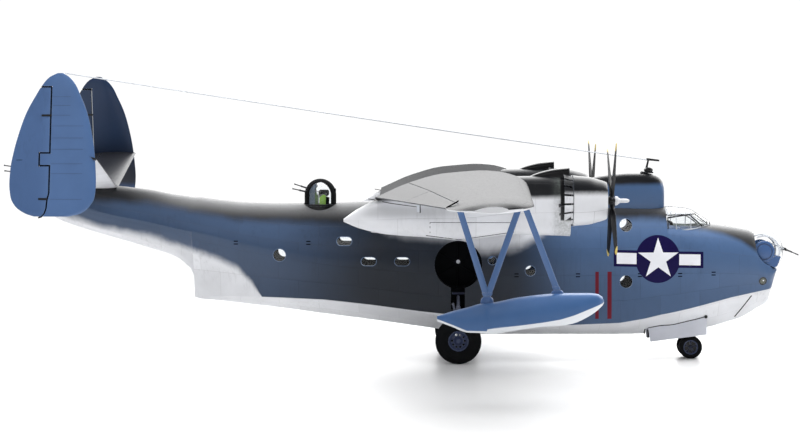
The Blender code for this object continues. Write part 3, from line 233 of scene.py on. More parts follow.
def straight(table, at):
    return float(np.interp(at, [row[0] for row in table], [row[1] for row in table]))


def polar(radius, angle):
    return radius * cos(angle), radius * sin(angle)


def span(sign, near, far):
    """Two distances from the centre plane as Y values on one side, the lower first."""
    return sorted((sign * near, sign * far))


def ball_profile(radius, count):
    """Half round section of a ball, closed at both poles."""
    profile = [(radius * sin(a), -radius * cos(a)) for a in np.linspace(0, pi, count)]
    profile[0], profile[-1] = (0.0, -radius), (0.0, radius)
    return profile


def hoop_profile(radius, thickness):
    """Section of a round hoop, closed on itself."""
    profile = [(radius + thickness * cos(a), thickness * sin(a)) for a in np.linspace(0, 2 * pi, 9)]
    return profile[:-1] + profile[:1]


# Building pieces


class Piece:
    """Points, faces and finishes of one piece in millimetres, with a lengthwise and crosswise measure."""

    def __init__(self, name):
        self.name = name
        self.points, self.faces, self.measures = [], [], []
        self.finish_of_face, self.finishes = [], []

    def add(self, points, faces, paint, measures=None):
        start = len(self.points)
        self.points += [tuple(float(v) for v in point) for point in points]
        if paint not in self.finishes:
            self.finishes.append(paint)
        for k, face in enumerate(faces):
            self.faces.append([start + i for i in face])
            self.finish_of_face.append(self.finishes.index(paint))
            if measures is None:
                self.measures.append([(points[i][0], points[i][2]) for i in face])
            else:
                self.measures.append(measures[k])

    def skin(self, rings, paint, caps=True, across=None):
        """Joins rings of points one to the next."""
        rings = np.array(rings, float)
        count = rings.shape[1]
        middles = rings.mean(axis=1)
        axis = int(np.argmax(np.abs(middles[-1] - middles[0])))
        along = middles[:, axis]
        if across is None:
            widest = rings[int(np.argmax(np.ptp(rings, axis=1).sum(axis=1)))]
            steps = np.linalg.norm(np.roll(widest, -1, axis=0) - widest, axis=1)
            across = np.concatenate([[0.0], np.cumsum(steps)])
        faces, measures = [], []
        for i in range(len(rings) - 1):
            for j in range(count):
                k = (j + 1) % count
                faces.append((i * count + j, i * count + k, (i + 1) * count + k, (i + 1) * count + j))
                a, b = across[j], across[j + 1]
                measures.append([(along[i], a), (along[i], b), (along[i + 1], b), (along[i + 1], a)])
        if caps:
            for ring, order in ((0, range(count - 1, -1, -1)), (len(rings) - 1, range(count))):
                faces.append([ring * count + j for j in order])
                measures.append([(along[ring], 0.0)] * count)
        self.add(rings.reshape(-1, 3), faces, paint, measures)
        return self

    def lathe(self, profile, centre, axis, paint, steps):
        """A profile of (radius, height) points turned about an axis. It closes where the radius is 0."""
        axis = Vector(axis).normalized()
        side = axis.orthogonal().normalized()
        if abs(axis.z) < 0.9:
            side = Vector((0, 0, 1))
        other = axis.cross(side)
        rings = []
        for radius, height in profile:
            ring = []
            for k in range(steps):
                angle = 2 * pi * k / steps
                out = side * cos(angle) + other * sin(angle)
                ring.append(Vector(centre) + axis * height + out * radius)
            rings.append(ring)
        return self.skin(rings, paint, caps=profile[0][0] > 0 and profile[-1] != profile[0])

    def rod(self, start, end, radius, paint, end_radius=None, sides=12):
        start, end = Vector(start), Vector(end)
        far = radius if end_radius is None else end_radius
        length = (end - start).length
        return self.lathe(((0, 0), (radius, 0), (far, length), (0, length)), start, end - start, paint, sides)

    def sweep(self, path, outline, paint, up):
        """An outline of (side, up) points carried along a path."""
        path = [Vector(p) for p in path]
        rings = []
        for i, point in enumerate(path):
            ahead = path[min(i + 1, len(path) - 1)] - path[max(i - 1, 0)]
            side = ahead.cross(Vector(up)).normalized()
            lift = side.cross(ahead).normalized()
            rings.append([point + side * u + lift * v for u, v in outline])
        return self.skin(rings, paint)

    def wire(self, path, radius, paint, sides=8, up=ALONG_Z):
        outline = [polar(radius, 2 * pi * k / sides) for k in range(sides)]
        return self.sweep(path, outline, paint, up)

    def block(self, low, high, paint, chamfer=0.12):
        """A box with its edges taken off, as a moulded part has."""
        (x0, y0, z0), (x1, y1, z1) = low, high
        c = min(chamfer, (x1 - x0) / 3, (y1 - y0) / 3, (z1 - z0) / 3)

        def ring(x, inset):
            a, b, d, e = y0 + inset, y1 - inset, z0 + inset, z1 - inset
            return [
                (x, a + c, d), (x, b - c, d), (x, b, d + c), (x, b, e - c), (x, b - c, e), (x, a + c, e),
                (x, a, e - c), (x, a, d + c),
            ]

        return self.skin([ring(x0, c), ring(x0 + c, 0), ring(x1 - c, 0), ring(x1, c)], paint)

    def prism(self, outline, axis, low, high, paint):
        """A flat outline pushed along one axis."""
        def place(point, level):
            point = list(point)
            point.insert(axis, level)
            return point

        return self.skin([[place(p, low) for p in outline], [place(p, high) for p in outline]], paint)

    def object(self):
        mesh = bpy.data.meshes.new(self.name)
        mesh.from_pydata([[v * MM for v in point] for point in self.points], [], self.faces)
        layer = mesh.uv_layers.new(name="measure")
        flat = [value for face in self.measures for corner in face for value in corner]
        layer.data.foreach_set("uv", flat)
        for name in self.finishes:
            mesh.materials.append(finish(name))
        mesh.polygons.foreach_set("material_index", self.finish_of_face)
        shape = bmesh.new()
        shape.from_mesh(mesh)
        bmesh.ops.remove_doubles(shape, verts=shape.verts, dist=0.000001)
        bmesh.ops.dissolve_degenerate(shape, edges=shape.edges, dist=0.0000005)
        bmesh.ops.recalc_face_normals(shape, faces=shape.faces)
        shape.to_mesh(mesh)
        shape.free()
        made = bpy.data.objects.new(self.name, mesh)
        bpy.context.scene.collection.objects.link(made)
        return made

    def make(
        self, body="airframe", stands_for=(), slot="airframe_paint", crease=32.0, cuts=(), keeps=(),
        origin=None,
    ):
        made = self.object()
        carve(made, cuts, "DIFFERENCE")
        carve(made, keeps, "INTERSECT")
        if origin:
            made.location = [v * MM for v in origin]
        made.data.shade_smooth()
        made.data.set_sharp_from_angle(angle=radians(crease))
        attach(made, body)
        if stands_for:
            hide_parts(*stands_for)
        return made

    def stand_in(self, **details):
        """Makes the piece in place of the solid that has its name."""
        return self.make(stands_for=(self.name,), **details)


def carve(made, others, operation):
    """Cuts other pieces out, or keeps only what is inside them. They are used up."""
    if not others:
        return
    helpers = [other.object() for other in others]
    for helper in helpers:
        step = made.modifiers.new(helper.name, "BOOLEAN")
        step.operation, step.object, step.solver = operation, helper, "EXACT"
        step.material_mode = "TRANSFER"
    bpy.context.view_layer.update()
    graph = bpy.context.evaluated_depsgraph_get()
    result = bpy.data.meshes.new_from_object(made.evaluated_get(graph))
    made.modifiers.clear()
    made.data = result
    for helper in helpers:
        bpy.data.objects.remove(helper)


# Shader helpers


class Nodes:
    """Adds nodes to one tree. A value may be a number, a colour or another node's socket."""

    def __init__(self, tree):
        self.tree = tree

    def add(self, kind, **values):
        node = self.tree.nodes.new(kind)
        for key, value in values.items():
            setattr(node, key, value)
        return node

    def feed(self, socket, value):
        if isinstance(value, bpy.types.NodeSocket):
            self.tree.links.new(value, socket)
        else:
            socket.default_value = value

    def math(self, operation, *values, clamp=False):
        node = self.add("ShaderNodeMath", operation=operation, use_clamp=clamp)
        for socket, value in zip(node.inputs, values):
            self.feed(socket, value)
        return node.outputs[0]

    def times(self, first, second, clamp=False):
        return self.math("MULTIPLY", first, second, clamp=clamp)

    def plus(self, first, second):
        return self.math("ADD", first, second)

    def minus(self, first, second):
        return self.math("SUBTRACT", first, second)

    def fit(self, value, gain, offset):
        return self.math("MULTIPLY_ADD", value, gain, offset)

    def vector(self, operation, *values):
        node = self.add("ShaderNodeVectorMath", operation=operation)
        for socket, value in zip(node.inputs, values):
            self.feed(socket, value)
        return node.outputs["Value"] if operation in ("LENGTH", "DOT_PRODUCT") else node.outputs["Vector"]

    def scaled(self, vector, size):
        node = self.add("ShaderNodeVectorMath", operation="SCALE")
        self.feed(node.inputs[0], vector)
        self.feed(node.inputs["Scale"], size)
        return node.outputs["Vector"]

    def parts(self, vector):
        node = self.add("ShaderNodeSeparateXYZ")
        self.feed(node.inputs[0], vector)
        return node.outputs

    def joined(self, x, y, z):
        node = self.add("ShaderNodeCombineXYZ")
        for socket, value in zip(node.inputs, (x, y, z)):
            self.feed(socket, value)
        return node.outputs[0]

    def step(self, value, low, high, bottom=0.0, top=1.0):
        """Rises smoothly from bottom to top as value goes from low to high."""
        node = self.add("ShaderNodeMapRange", interpolation_type="SMOOTHSTEP")
        for name, given in (
            ("Value", value), ("From Min", low), ("From Max", high), ("To Min", bottom), ("To Max", top)
        ):
            self.feed(node.inputs[name], given)
        return node.outputs["Result"]

    def blend(self, share, first, second, mode="MIX"):
        node = self.add("ShaderNodeMix", data_type="RGBA", blend_type=mode)
        for socket, value in ((node.inputs[0], share), (node.inputs[6], first), (node.inputs[7], second)):
            self.feed(socket, (*value, 1.0) if isinstance(value, tuple) and len(value) == 3 else value)
        return node.outputs[2]

    def shaded(self, colour, shade):
        return self.blend(1.0, colour, self.joined(shade, shade, shade), "MULTIPLY")

    def noise(self, vector, scale, detail=3.0, roughness=0.5, warp=0.0):
        node = self.add("ShaderNodeTexNoise")
        for name, value in (
            ("Vector", vector), ("Scale", scale), ("Detail", detail), ("Roughness", roughness),
            ("Distortion", warp),
        ):
            self.feed(node.inputs[name], value)
        return node.outputs[0]

    def curve(self, value, points):
        """Straight lines through (value, result) points."""
        xs, ys = [p[0] for p in points], [p[1] for p in points]
        low, high = min(ys), max(ys)
        share = self.math("DIVIDE", self.minus(value, xs[0]), xs[-1] - xs[0], clamp=True)
        node = self.add("ShaderNodeFloatCurve")
        line = node.mapping.curves[0]
        while len(line.points) < len(points):
            line.points.new(0.5, 0.5)
        for spot, (x, y) in zip(line.points, points):
            spot.location = ((x - xs[0]) / (xs[-1] - xs[0]), (y - low) / (high - low))
            spot.handle_type = "VECTOR"
        node.mapping.update()
        self.feed(node.inputs["Value"], share)
        return self.fit(node.outputs[0], high - low, low)

    def use(self, effect, **values):
        node = self.add("ShaderNodeGroup", node_tree=effect)
        for name, value in values.items():
            self.feed(node.inputs[name.replace("_", " ")], value)
        return node.outputs


def effect(name, inputs, outputs):
    """An empty shader node group with named sockets, its nodes, and its inputs."""
    tree = bpy.data.node_groups.new(name, "ShaderNodeTree")
    kinds = {"v": "NodeSocketVector", "f": "NodeSocketFloat"}
    for label, kind, value in inputs:
        socket = tree.interface.new_socket(name=label, in_out="INPUT", socket_type=kinds[kind])
        if value is not None:
            socket.default_value = value
    for label, kind in outputs:
        tree.interface.new_socket(name=label, in_out="OUTPUT", socket_type=kinds[kind])
    nodes = Nodes(tree)
    return tree, nodes, nodes.add("NodeGroupInput").outputs, nodes.add("NodeGroupOutput").inputs


def make_panel_sheets():
    """Riveted sheets: engraved lines, rivets, and a slight difference of tone from sheet to sheet."""
    tree, n, given, out = effect(
        "panel_sheets",
        [("Measure", "v", None), ("Length", "f", 14.0), ("Height", "f", 9.0), ("Line", "f", 0.14)],
        [("Line", "f"), ("Rivet", "f"), ("Tone", "f")],
    )
    brick = n.add("ShaderNodeTexBrick", offset=0.5, offset_frequency=2, squash=1.0)
    values = (
        ("Vector", given["Measure"]), ("Scale", 1.0), ("Mortar Size", given["Line"]), ("Mortar Smooth", 0.4),
        ("Bias", 0.0),
    )
    for label, value in values:
        n.feed(brick.inputs[label], value)
    n.feed(brick.inputs["Brick Width"], given["Length"])
    n.feed(brick.inputs["Row Height"], given["Height"])
    for label, value in (("Color1", 0.0), ("Color2", 1.0), ("Mortar", 0.5)):
        brick.inputs[label].default_value = (value, value, value, 1.0)
    x, y, _ = n.parts(given["Measure"])
    dots = []
    for pitch_x, pitch_y in ((0.95, given["Height"]), (given["Length"], 0.95)):
        a = n.times(n.minus(n.math("FRACT", n.math("DIVIDE", x, pitch_x)), 0.5), pitch_x)
        b = n.times(n.minus(n.math("FRACT", n.plus(n.math("DIVIDE", y, pitch_y), 0.42)), 0.5), pitch_y)
        reach = n.math("SQRT", n.plus(n.times(a, a), n.times(b, b)))
        dots.append(n.step(reach, 0.17, 0.09))
    n.feed(out["Line"], brick.outputs["Fac"])
    n.feed(out["Rivet"], n.math("MAXIMUM", *dots))
    n.feed(out["Tone"], n.parts(brick.outputs["Color"])[0])
    return tree


def make_paint_unevenness():
    """Soft blotches, fine speckle and the grain of a sprayed coat."""
    tree, n, given, out = effect(
        "paint_unevenness", [("Place", "v", None), ("Size", "f", 1.0)],
        [("Blotch", "f"), ("Speckle", "f"), ("Grain", "f")],
    )
    place = n.scaled(given["Place"], given["Size"])
    n.feed(out["Blotch"], n.noise(place, 0.06, 4.0, 0.6, 0.4))
    n.feed(out["Speckle"], n.noise(place, 0.9, 3.0, 0.65))
    n.feed(out["Grain"], n.noise(place, 9.0, 2.0, 0.6))
    return tree


def make_rubbed_edges():
    """Where edges stick out, paint is rubbed thin."""
    tree, n, given, out = effect(
        "rubbed_edges", [("Place", "v", None), ("Reach", "f", 0.0004)], [("Rub", "f")]
    )
    soft = n.add("ShaderNodeBevel", samples=3)
    n.feed(soft.inputs["Radius"], given["Reach"])
    crisp = n.add("ShaderNodeNewGeometry").outputs["Normal"]
    bend = n.minus(1.0, n.vector("DOT_PRODUCT", soft.outputs[0], crisp))
    chips = n.step(n.noise(given["Place"], 1.3, 4.0, 0.7), 0.42, 0.62)
    n.feed(out["Rub"], n.times(n.step(bend, 0.02, 0.2), chips, clamp=True))
    return tree


def make_run_marks():
    """Thin marks that water and exhaust leave, running down or back."""
    tree, n, given, out = effect(
        "run_marks", [("Place", "v", None), ("Stretch", "v", (1.0, 1.0, 0.12))], [("Mark", "f")]
    )
    place = n.vector("MULTIPLY", given["Place"], given["Stretch"])
    fine = n.step(n.noise(place, 0.7, 4.0, 0.65), 0.46, 0.72)
    patch = n.step(n.noise(given["Place"], 0.05, 2.0, 0.5), 0.4, 0.65)
    n.feed(out["Mark"], n.times(fine, patch, clamp=True))
    return tree


EFFECTS = {
    "sheets": make_panel_sheets(),
    "uneven": make_paint_unevenness(),
    "rubbed": make_rubbed_edges(),
    "runs": make_run_marks(),
}

# Finishes

SEA_BLUE = (0.062, 0.12, 0.245)
BRIGHT_BLUE = (0.062, 0.13, 0.29)
DEEP_BLUE = (0.008, 0.0088, 0.011)
# Painted shadow: the colour the hull's side takes where the wing shades it.
SHADED_BLUE = (0.006, 0.011, 0.022)
WHITE = (0.71, 0.72, 0.755)
BLACK = (0.004, 0.004, 0.005)
NAVY = (0.006, 0.003, 0.05)
DULL_RED = (0.13, 0.004, 0.016)
YELLOW = (0.72, 0.55, 0.14)
INTERIOR_GREEN = (0.13, 0.24, 0.06)


def new_material(name, **sockets):
    material = bpy.data.materials.new(name)
    material.use_nodes = True
    material.node_tree.nodes.clear()
    nodes = Nodes(material.node_tree)
    shader = nodes.add("ShaderNodeBsdfPrincipled")
    output = nodes.add("ShaderNodeOutputMaterial")
    material.node_tree.links.new(shader.outputs[0], output.inputs[0])
    for label, value in sockets.items():
        shader.inputs[label.replace("_", " ")].default_value = value
    return material, nodes, shader


def place_in_mm(n):
    return n.scaled(n.add("ShaderNodeTexCoord").outputs["Object"], 1000.0)


def emboss(n, shader, height, depth):
    bump = n.add("ShaderNodeBump")
    bump.inputs["Distance"].default_value = depth
    n.feed(bump.inputs["Height"], height)
    n.feed(shader.inputs["Normal"], bump.outputs[0])


def coat_of_paint(
    name, tone, gloss, sheets, line=0.1, runs=0.0, rub=0.5, dark_lines=0.18, index=1.5, shine=0.5
):
    """Sprayed paint over moulded plastic. tone is a colour, or a function of n, place and uneven."""
    material, n, shader = new_material(name, IOR=index, Specular_IOR_Level=shine)
    place = place_in_mm(n)
    measure = n.add("ShaderNodeUVMap", uv_map="measure").outputs[0]
    uneven = n.use(EFFECTS["uneven"], Place=place)
    colour = tone(n, place, uneven) if callable(tone) else tone
    shade = n.fit(uneven["Blotch"], 0.3, 0.85)
    height = n.times(uneven["Grain"], 0.01)
    if sheets:
        panels = n.use(EFFECTS["sheets"], Measure=measure, Length=sheets[0], Height=sheets[1], Line=line)
        shade = n.times(shade, n.fit(panels["Tone"], 0.1, 0.95))
        shade = n.times(shade, n.minus(1.0, n.times(panels["Line"], dark_lines)))
        cut = n.fit(panels["Line"], 0.05, n.times(panels["Rivet"], 0.012))
        height = n.minus(height, cut)
    if runs:
        marks = n.use(EFFECTS["runs"], Place=place)
        shade = n.times(shade, n.minus(1.0, n.times(marks["Mark"], runs)))
    colour = n.shaded(colour, shade)
    rubbed = n.use(EFFECTS["rubbed"], Place=place)
    colour = n.blend(n.times(rubbed["Rub"], rub), colour, (0.3, 0.34, 0.4))
    n.feed(shader.inputs["Base Color"], colour)
    n.feed(shader.inputs["Roughness"], n.fit(uneven["Speckle"], 0.12, gloss - 0.06))
    emboss(n, shader, height, MM)
    return material


# Heights of the soft lines between colours on the hull, along X.
DECK_LINE = (
    (-160.0, 72.5), (-135.0, 70.0), (-108.0, 67.2), (-84.0, 63.0), (-60.0, 59.6), (-25.0, 59.4), (60.0, 61.0),
    (80.0, 61.6), (95.0, 61.2), (114.0, 61.2), (117.0, 58.2), (132.0, 56.3), (140.0, 54.3), (147.0, 51.6),
    (153.0, 47.6), (156.0, 45.8), (165.0, 44.0),
)
WHITE_LINE = (
    (-160.0, 67.5), (-144.0, 62.0), (-129.0, 57.4), (-108.5, 53.8), (-93.5, 48.5), (-78.5, 44.4),
    (-69.5, 40.3), (-64.0, 34.3), (-59.0, 27.4), (-51.0, 27.3), (-32.6, 26.7), (-12.0, 24.6), (9.0, 21.9),
    (29.8, 19.6), (30.2, 17.6), (50.0, 16.6), (71.5, 16.0), (94.2, 16.9), (104.6, 18.6), (114.9, 20.8),
    (125.0, 22.9), (134.1, 25.1), (143.1, 27.3), (148.5, 28.3), (153.4, 29.2), (160.1, 30.4), (163.2, 31.5),
)
# Lower edge of the white sprayed on the hull under the wing, along X.
WING_SPRAY_LINE = (
    (-18.0, 61.5), (-8.0, 58.0), (0.0, 55.5), (10.0, 55.0), (22.0, 53.0), (32.0, 48.9), (42.0, 48.4),
    (52.0, 50.5), (62.0, 57.0), (72.0, 66.0),
)
# How light the hull's side is, along X: partly the paint's own tone, partly painted shade that darkens the
# side aft.
SIDE_TONE_AND_SHADE = (
    (-160.0, 0.4), (-60.0, 0.52), (-30.0, 0.5), (50.0, 0.85), (75.0, 0.84), (100.0, 0.95), (150.0, 1.04),
    (165.0, 1.1),
)
# Height of the edge between white and dark on the nacelles, along X.
NACELLE_LINE = ((-24.0, 66.2), (-5.0, 70.6), (10.0, 73.4), (20.0, 72.4), (72.0, 72.4))


def hull_tone(n, place, uneven):
    x, y, z = n.parts(place)
    soft = n.times(n.minus(uneven["Blotch"], 0.5), 5.0)
    up = n.plus(z, soft)
    # Painted shadow: the hull's side turns nearly black under the wing, where the wing shades it.
    wing_shadow = n.times(n.step(x, -60.0, -8.0), n.step(x, 80.0, 46.0))
    side = n.blend(n.times(wing_shadow, 0.93), SEA_BLUE, SHADED_BLUE)
    # Partly painted shade: the side is darker aft, and darker towards the bottom where it faces down.
    light = n.times(n.curve(x, SIDE_TONE_AND_SHADE), n.step(z, 24.0, 58.0, 0.76, 1.12))
    side = n.shaded(side, light)
    spray = n.step(n.minus(up, n.curve(x, WING_SPRAY_LINE)), -4.5, 3.0)
    inside = n.times(n.step(x, -18.0, -8.0), n.step(x, 71.2, 70.8))
    side = n.blend(n.times(spray, inside), side, WHITE)
    bow = n.step(x, 112.0, 120.0)
    ragged = n.times(soft, n.fit(bow, -0.8, 1.0))
    above = n.minus(n.plus(z, ragged), n.curve(x, DECK_LINE))
    above = n.math("DIVIDE", above, n.fit(bow, -0.8, 2.4))
    # Painted sheen: along the middle of the deck the dark paint turns light grey, standing in for the
    # reflection along the deck's top; it is strongest on the aft deck.
    middle = n.times(n.step(n.math("ABSOLUTE", y), 13.0, 4.0), n.step(x, -122.0, -88.0))
    painted_sheen = n.times(middle, n.step(x, 40.0, -20.0, 0.35, 0.85))
    side = n.blend(n.step(above, -1.0, 1.0), side, n.blend(painted_sheen, DEEP_BLUE, (0.15, 0.152, 0.156)))
    width = n.step(x, -58.0, -64.0, 0.12, 2.2)
    edge = n.minus(n.fit(n.step(x, -58.0, -64.0), soft, z), n.curve(x, WHITE_LINE))
    share = n.step(n.math("DIVIDE", edge, width), -1.0, 1.0)
    return n.blend(share, WHITE, side)


def wing_tone(n, place, uneven):
    normal = n.add("ShaderNodeNewGeometry").outputs["Normal"]
    up = n.plus(n.parts(normal)[2], n.times(n.minus(uneven["Blotch"], 0.5), 0.12))
    # The white reaches higher round the wing tip: partly the underside paint turning up over the tip, partly
    # a painted highlight for the sheen along the tip.
    up = n.minus(up, n.step(n.math("ABSOLUTE", n.parts(place)[1]), 232.0, 239.0, 0.0, 0.3))
    return n.blend(n.step(up, -0.12, 0.02), WHITE, DEEP_BLUE)


def tail_tone(n, place, uneven):
    up = n.parts(n.add("ShaderNodeNewGeometry").outputs["Normal"])[2]
    return n.blend(n.step(up, -0.75, -0.6), WHITE, (0.017, 0.018, 0.022))


def nacelle_tone(n, place, uneven):
    x, _, z = n.parts(place)
    ragged = n.times(n.minus(uneven["Blotch"], 0.5), 2.5)
    above = n.minus(n.plus(z, ragged), n.curve(x, NACELLE_LINE))
    colour = n.blend(n.step(above, -1.4, 1.4), WHITE, DEEP_BLUE)
    soot = n.times(n.step(x, 61.5, 66.4), n.step(uneven["Speckle"], 0.3, 0.75, 0.25, 1.0))
    colour = n.blend(n.times(soot, 0.55), colour, (0.12, 0.14, 0.13))
    # Painted shadow: a grey band along the nacelle's side under the wing's trailing edge, where the wing
    # shades it.
    shade = n.times(n.step(n.math("ABSOLUTE", n.minus(z, 66.3)), 4.2, 0.5), n.step(x, -20.0, -10.0))
    colour = n.blend(n.times(shade, n.step(x, 36.0, 14.0, 0.0, 0.45)), colour, (0.2, 0.205, 0.215))
    # Painted shade: the nacelle is black under the open cowl flaps.
    shade_under_flaps = n.times(n.step(x, 65.9, 66.5), n.step(z, 62.4, 63.4))
    return n.blend(shade_under_flaps, colour, BLACK)


def cowl_tone(n, place, uneven):
    z = n.parts(place)[2]
    return n.blend(n.step(n.fit(uneven["Speckle"], 0.8, z), 72.7, 75.9), WHITE, DEEP_BLUE)


def fin_tone(n, place, uneven):
    normal = n.parts(n.add("ShaderNodeNewGeometry").outputs["Normal"])[1]
    x, y, z = n.parts(place)
    outward = n.times(normal, n.math("SIGN", y))
    # Painted shade: a fin's inner face is much darker than its outer face, darkest just above the tailplane
    # and lighter again below it, where the other fin and the tailplane shade it.
    inner = n.blend(n.step(z, 78.0, 98.0), (0.005, 0.009, 0.022), (0.012, 0.032, 0.085))
    inner = n.blend(n.step(z, 75.0, 71.5), inner, (0.025, 0.06, 0.15))
    outer = n.blend(n.step(x, -141.0, -147.0), BRIGHT_BLUE, (0.05, 0.108, 0.25))
    return n.blend(n.step(outward, -0.1, 0.1), inner, outer)


def float_tone(n, place, uneven):
    x, _, z = n.parts(place)
    chine = n.curve(x, [(row[0], row[3]) for row in FLOAT_LINES])
    return n.blend(n.step(n.minus(z, chine), -0.12, 0.12), (0.6, 0.625, 0.665), (0.046, 0.117, 0.28))


def radome_tone(n, place, uneven):
    z = n.fit(n.minus(uneven["Blotch"], 0.5), 3.0, n.parts(place)[2])
    return n.blend(n.step(z, 74.2, 76.8), (0.055, 0.112, 0.235), DEEP_BLUE)


def blade_tone(n, place, uneven):
    reach = n.vector("LENGTH", n.vector("MULTIPLY", place, (0.0, 1.0, 1.0)))
    return n.blend(n.step(reach, 28.4, 28.7), BLACK, YELLOW)


def clear_plastic():
    material, n, shader = new_material("clear_plastic", Transmission_Weight=1.0, IOR=1.38, Roughness=0.02)
    shader.inputs["Base Color"].default_value = (0.96, 0.98, 0.99, 1.0)
    emboss(n, shader, n.noise(place_in_mm(n), 0.4, 2.0), 0.006 * MM)
    return material


def metal(name, colour, gloss):
    material, n, shader = new_material(name, Metallic=1.0)
    place = place_in_mm(n)
    uneven = n.use(EFFECTS["uneven"], Place=place, Size=2.0)
    marks = n.use(EFFECTS["runs"], Place=place, Stretch=(3.0, 3.0, 3.0))
    shade = n.minus(n.fit(uneven["Blotch"], 0.3, 0.85), n.times(marks["Mark"], 0.4))
    n.feed(shader.inputs["Base Color"], n.shaded(colour, shade))
    n.feed(shader.inputs["Roughness"], n.fit(uneven["Speckle"], 0.25, gloss - 0.1))
    return material


def tyre_rubber():
    material, n, shader = new_material("tyre_rubber", IOR=1.4, Specular_IOR_Level=0.1)
    place = place_in_mm(n)
    uneven = n.use(EFFECTS["uneven"], Place=place, Size=2.0)
    dust = n.step(uneven["Blotch"], 0.4, 0.75, 0.0, 0.3)
    n.feed(shader.inputs["Base Color"], n.blend(dust, (0.006, 0.0065, 0.0075), (0.014, 0.0138, 0.0135)))
    n.feed(shader.inputs["Roughness"], n.fit(uneven["Speckle"], 0.2, 0.62))
    emboss(n, shader, uneven["Grain"], 0.05 * MM)
    return material


def floor_material():
    material, n, shader = new_material("floor", Roughness=0.35)
    place = place_in_mm(n)
    n.feed(
        shader.inputs["Base Color"], n.blend(n.noise(place, 0.002), (0.84, 0.84, 0.835), (0.88, 0.88, 0.875))
    )
    clear = n.add("ShaderNodeBsdfTransparent")
    mix = n.add("ShaderNodeMixShader")
    n.feed(mix.inputs[0], n.step(n.parts(place)[1], 60.0, 520.0))
    n.tree.links.new(shader.outputs[0], mix.inputs[1])
    n.tree.links.new(clear.outputs[0], mix.inputs[2])
    output = next(node for node in n.tree.nodes if node.type == "OUTPUT_MATERIAL")
    n.tree.links.new(mix.outputs[0], output.inputs[0])
    return material


# Colour or tone, roughness, and where they differ from a common coat: length and height of its sheets,
# and other values of coat_of_paint.
PAINTS = {
    "hull_paint": (hull_tone, 0.42, (17.2, 10.5), {"runs": 0.15, "rub": 0.3}),
    "wing_paint": (wing_tone, 0.4, (17.0, 15.0), {"line": 0.12, "shine": 0.06}),
    "surface_paint": (wing_tone, 0.4, (7.4, 60.0), {"line": 0.14, "dark_lines": 0.12, "shine": 0.06}),
    "tail_paint": (tail_tone, 0.4, (7.4, 60.0), {"line": 0.14, "dark_lines": 0.12, "shine": 0.22}),
    "nacelle_paint": (nacelle_tone, 0.4, (16.0, 13.0), {"runs": 0.08}),
    "cowl_paint": (cowl_tone, 0.34, (20.0, 21.0), {"dark_lines": 0.35}),
    "fin_paint": (fin_tone, 0.4),
    "rudder_paint": (fin_tone, 0.42, None, {"runs": 0.12}),
    "seat_green": ((0.22, 0.42, 0.05), 0.5),
    "door_paint": ((0.7, 0.72, 0.8), 0.4, (9.0, 8.0), {}),
    "float_paint": (float_tone, 0.36),
    "radome_paint": (radome_tone, 0.4),
    "blue_paint": ((0.045, 0.105, 0.26), 0.4),
    "strut_paint": (BRIGHT_BLUE, 0.4),
    "rim_paint": ((0.09, 0.15, 0.27), 0.34, None, {"rub": 0.4}),
    "dark_paint": (DEEP_BLUE, 0.4),
    "white_paint": (WHITE, 0.4, (22.0, 30.0), {"runs": 0.3}),
    "black_paint": (BLACK, 0.34, None, {"rub": 0.6}),
    "flap_white": (cowl_tone, 0.42, None, {"runs": 0.4}),
    "navy_marking": (NAVY, 0.5, None, {"rub": 0.0, "shine": 0.15}),
    "white_marking": ((0.8, 0.81, 0.86), 0.36, None, {"rub": 0.0}),
    "red_marking": (DULL_RED, 0.5, None, {"rub": 0.0, "shine": 0.25}),
    "interior_paint": (INTERIOR_GREEN, 0.6),
    # Near black: small black parts and dark joints, and painted shade inside the hollows: cabin, wheel wells,
    # bays, gaps and turret sockets.
    "dark_inside": ((0.002, 0.0025, 0.0035), 0.88, None, {"rub": 0.0, "shine": 0.1}),
    "pale_interior": ((0.4, 0.45, 0.42), 0.5),
    # Painted reflection: a slate band seen through the aft part of the dorsal dome, for the glass's
    # reflection there.
    "painted_glass_reflection": ((0.09, 0.12, 0.16), 0.3, None, {"rub": 0.0}),
    # Painted shade: a darker copy of seat_green for the seat backs in shade.
    "shaded_seat_green": ((0.1, 0.17, 0.06), 0.5, None, {"rub": 0.0}),
    "fin_line": ((0.045, 0.085, 0.19), 0.42, None, {"rub": 0.0}),
    "pale_frame": ((0.5, 0.53, 0.58), 0.4, None, {"rub": 0.0}),
    "sill_white": ((0.62, 0.65, 0.7), 0.4, None, {"rub": 0.0}),
    "gear_paint": ((0.09, 0.1, 0.14), 0.42),
    "dark_hub": ((0.012, 0.015, 0.036), 0.45, None, {"shine": 0.25}),
    "hub_paint": ((0.04, 0.055, 0.12), 0.4),
    "blade_paint": (blade_tone, 0.5, None, {"index": 1.35, "shine": 0.3}),
    "lamp_amber": ((0.13, 0.14, 0.11), 0.2),
}
OTHER_FINISHES = {
    "clear_plastic": clear_plastic,
    "steel": lambda: metal("steel", (0.62, 0.63, 0.65), 0.32),
    "dark_metal": lambda: metal("dark_metal", (0.13, 0.13, 0.14), 0.42),
    "tyre_rubber": tyre_rubber,
    "floor": floor_material,
}
_made = {}


def finish(name):
    """The material of a finish, made the first time it is asked for."""
    if name not in _made:
        if name in PAINTS:
            tone, gloss, *more = PAINTS[name]
            sheets, extras = more or (None, {})
            _made[name] = coat_of_paint(name, tone, gloss, sheets, **extras)
        else:
            _made[name] = OTHER_FINISHES[name]()
    return _made[name]


# Hull

SIDE_RISES = (0.0, 0.34, 0.68, 1.0)
SIDE_FLARES = (0.0, 0.2, 0.66, 1.0)
_sections = {}


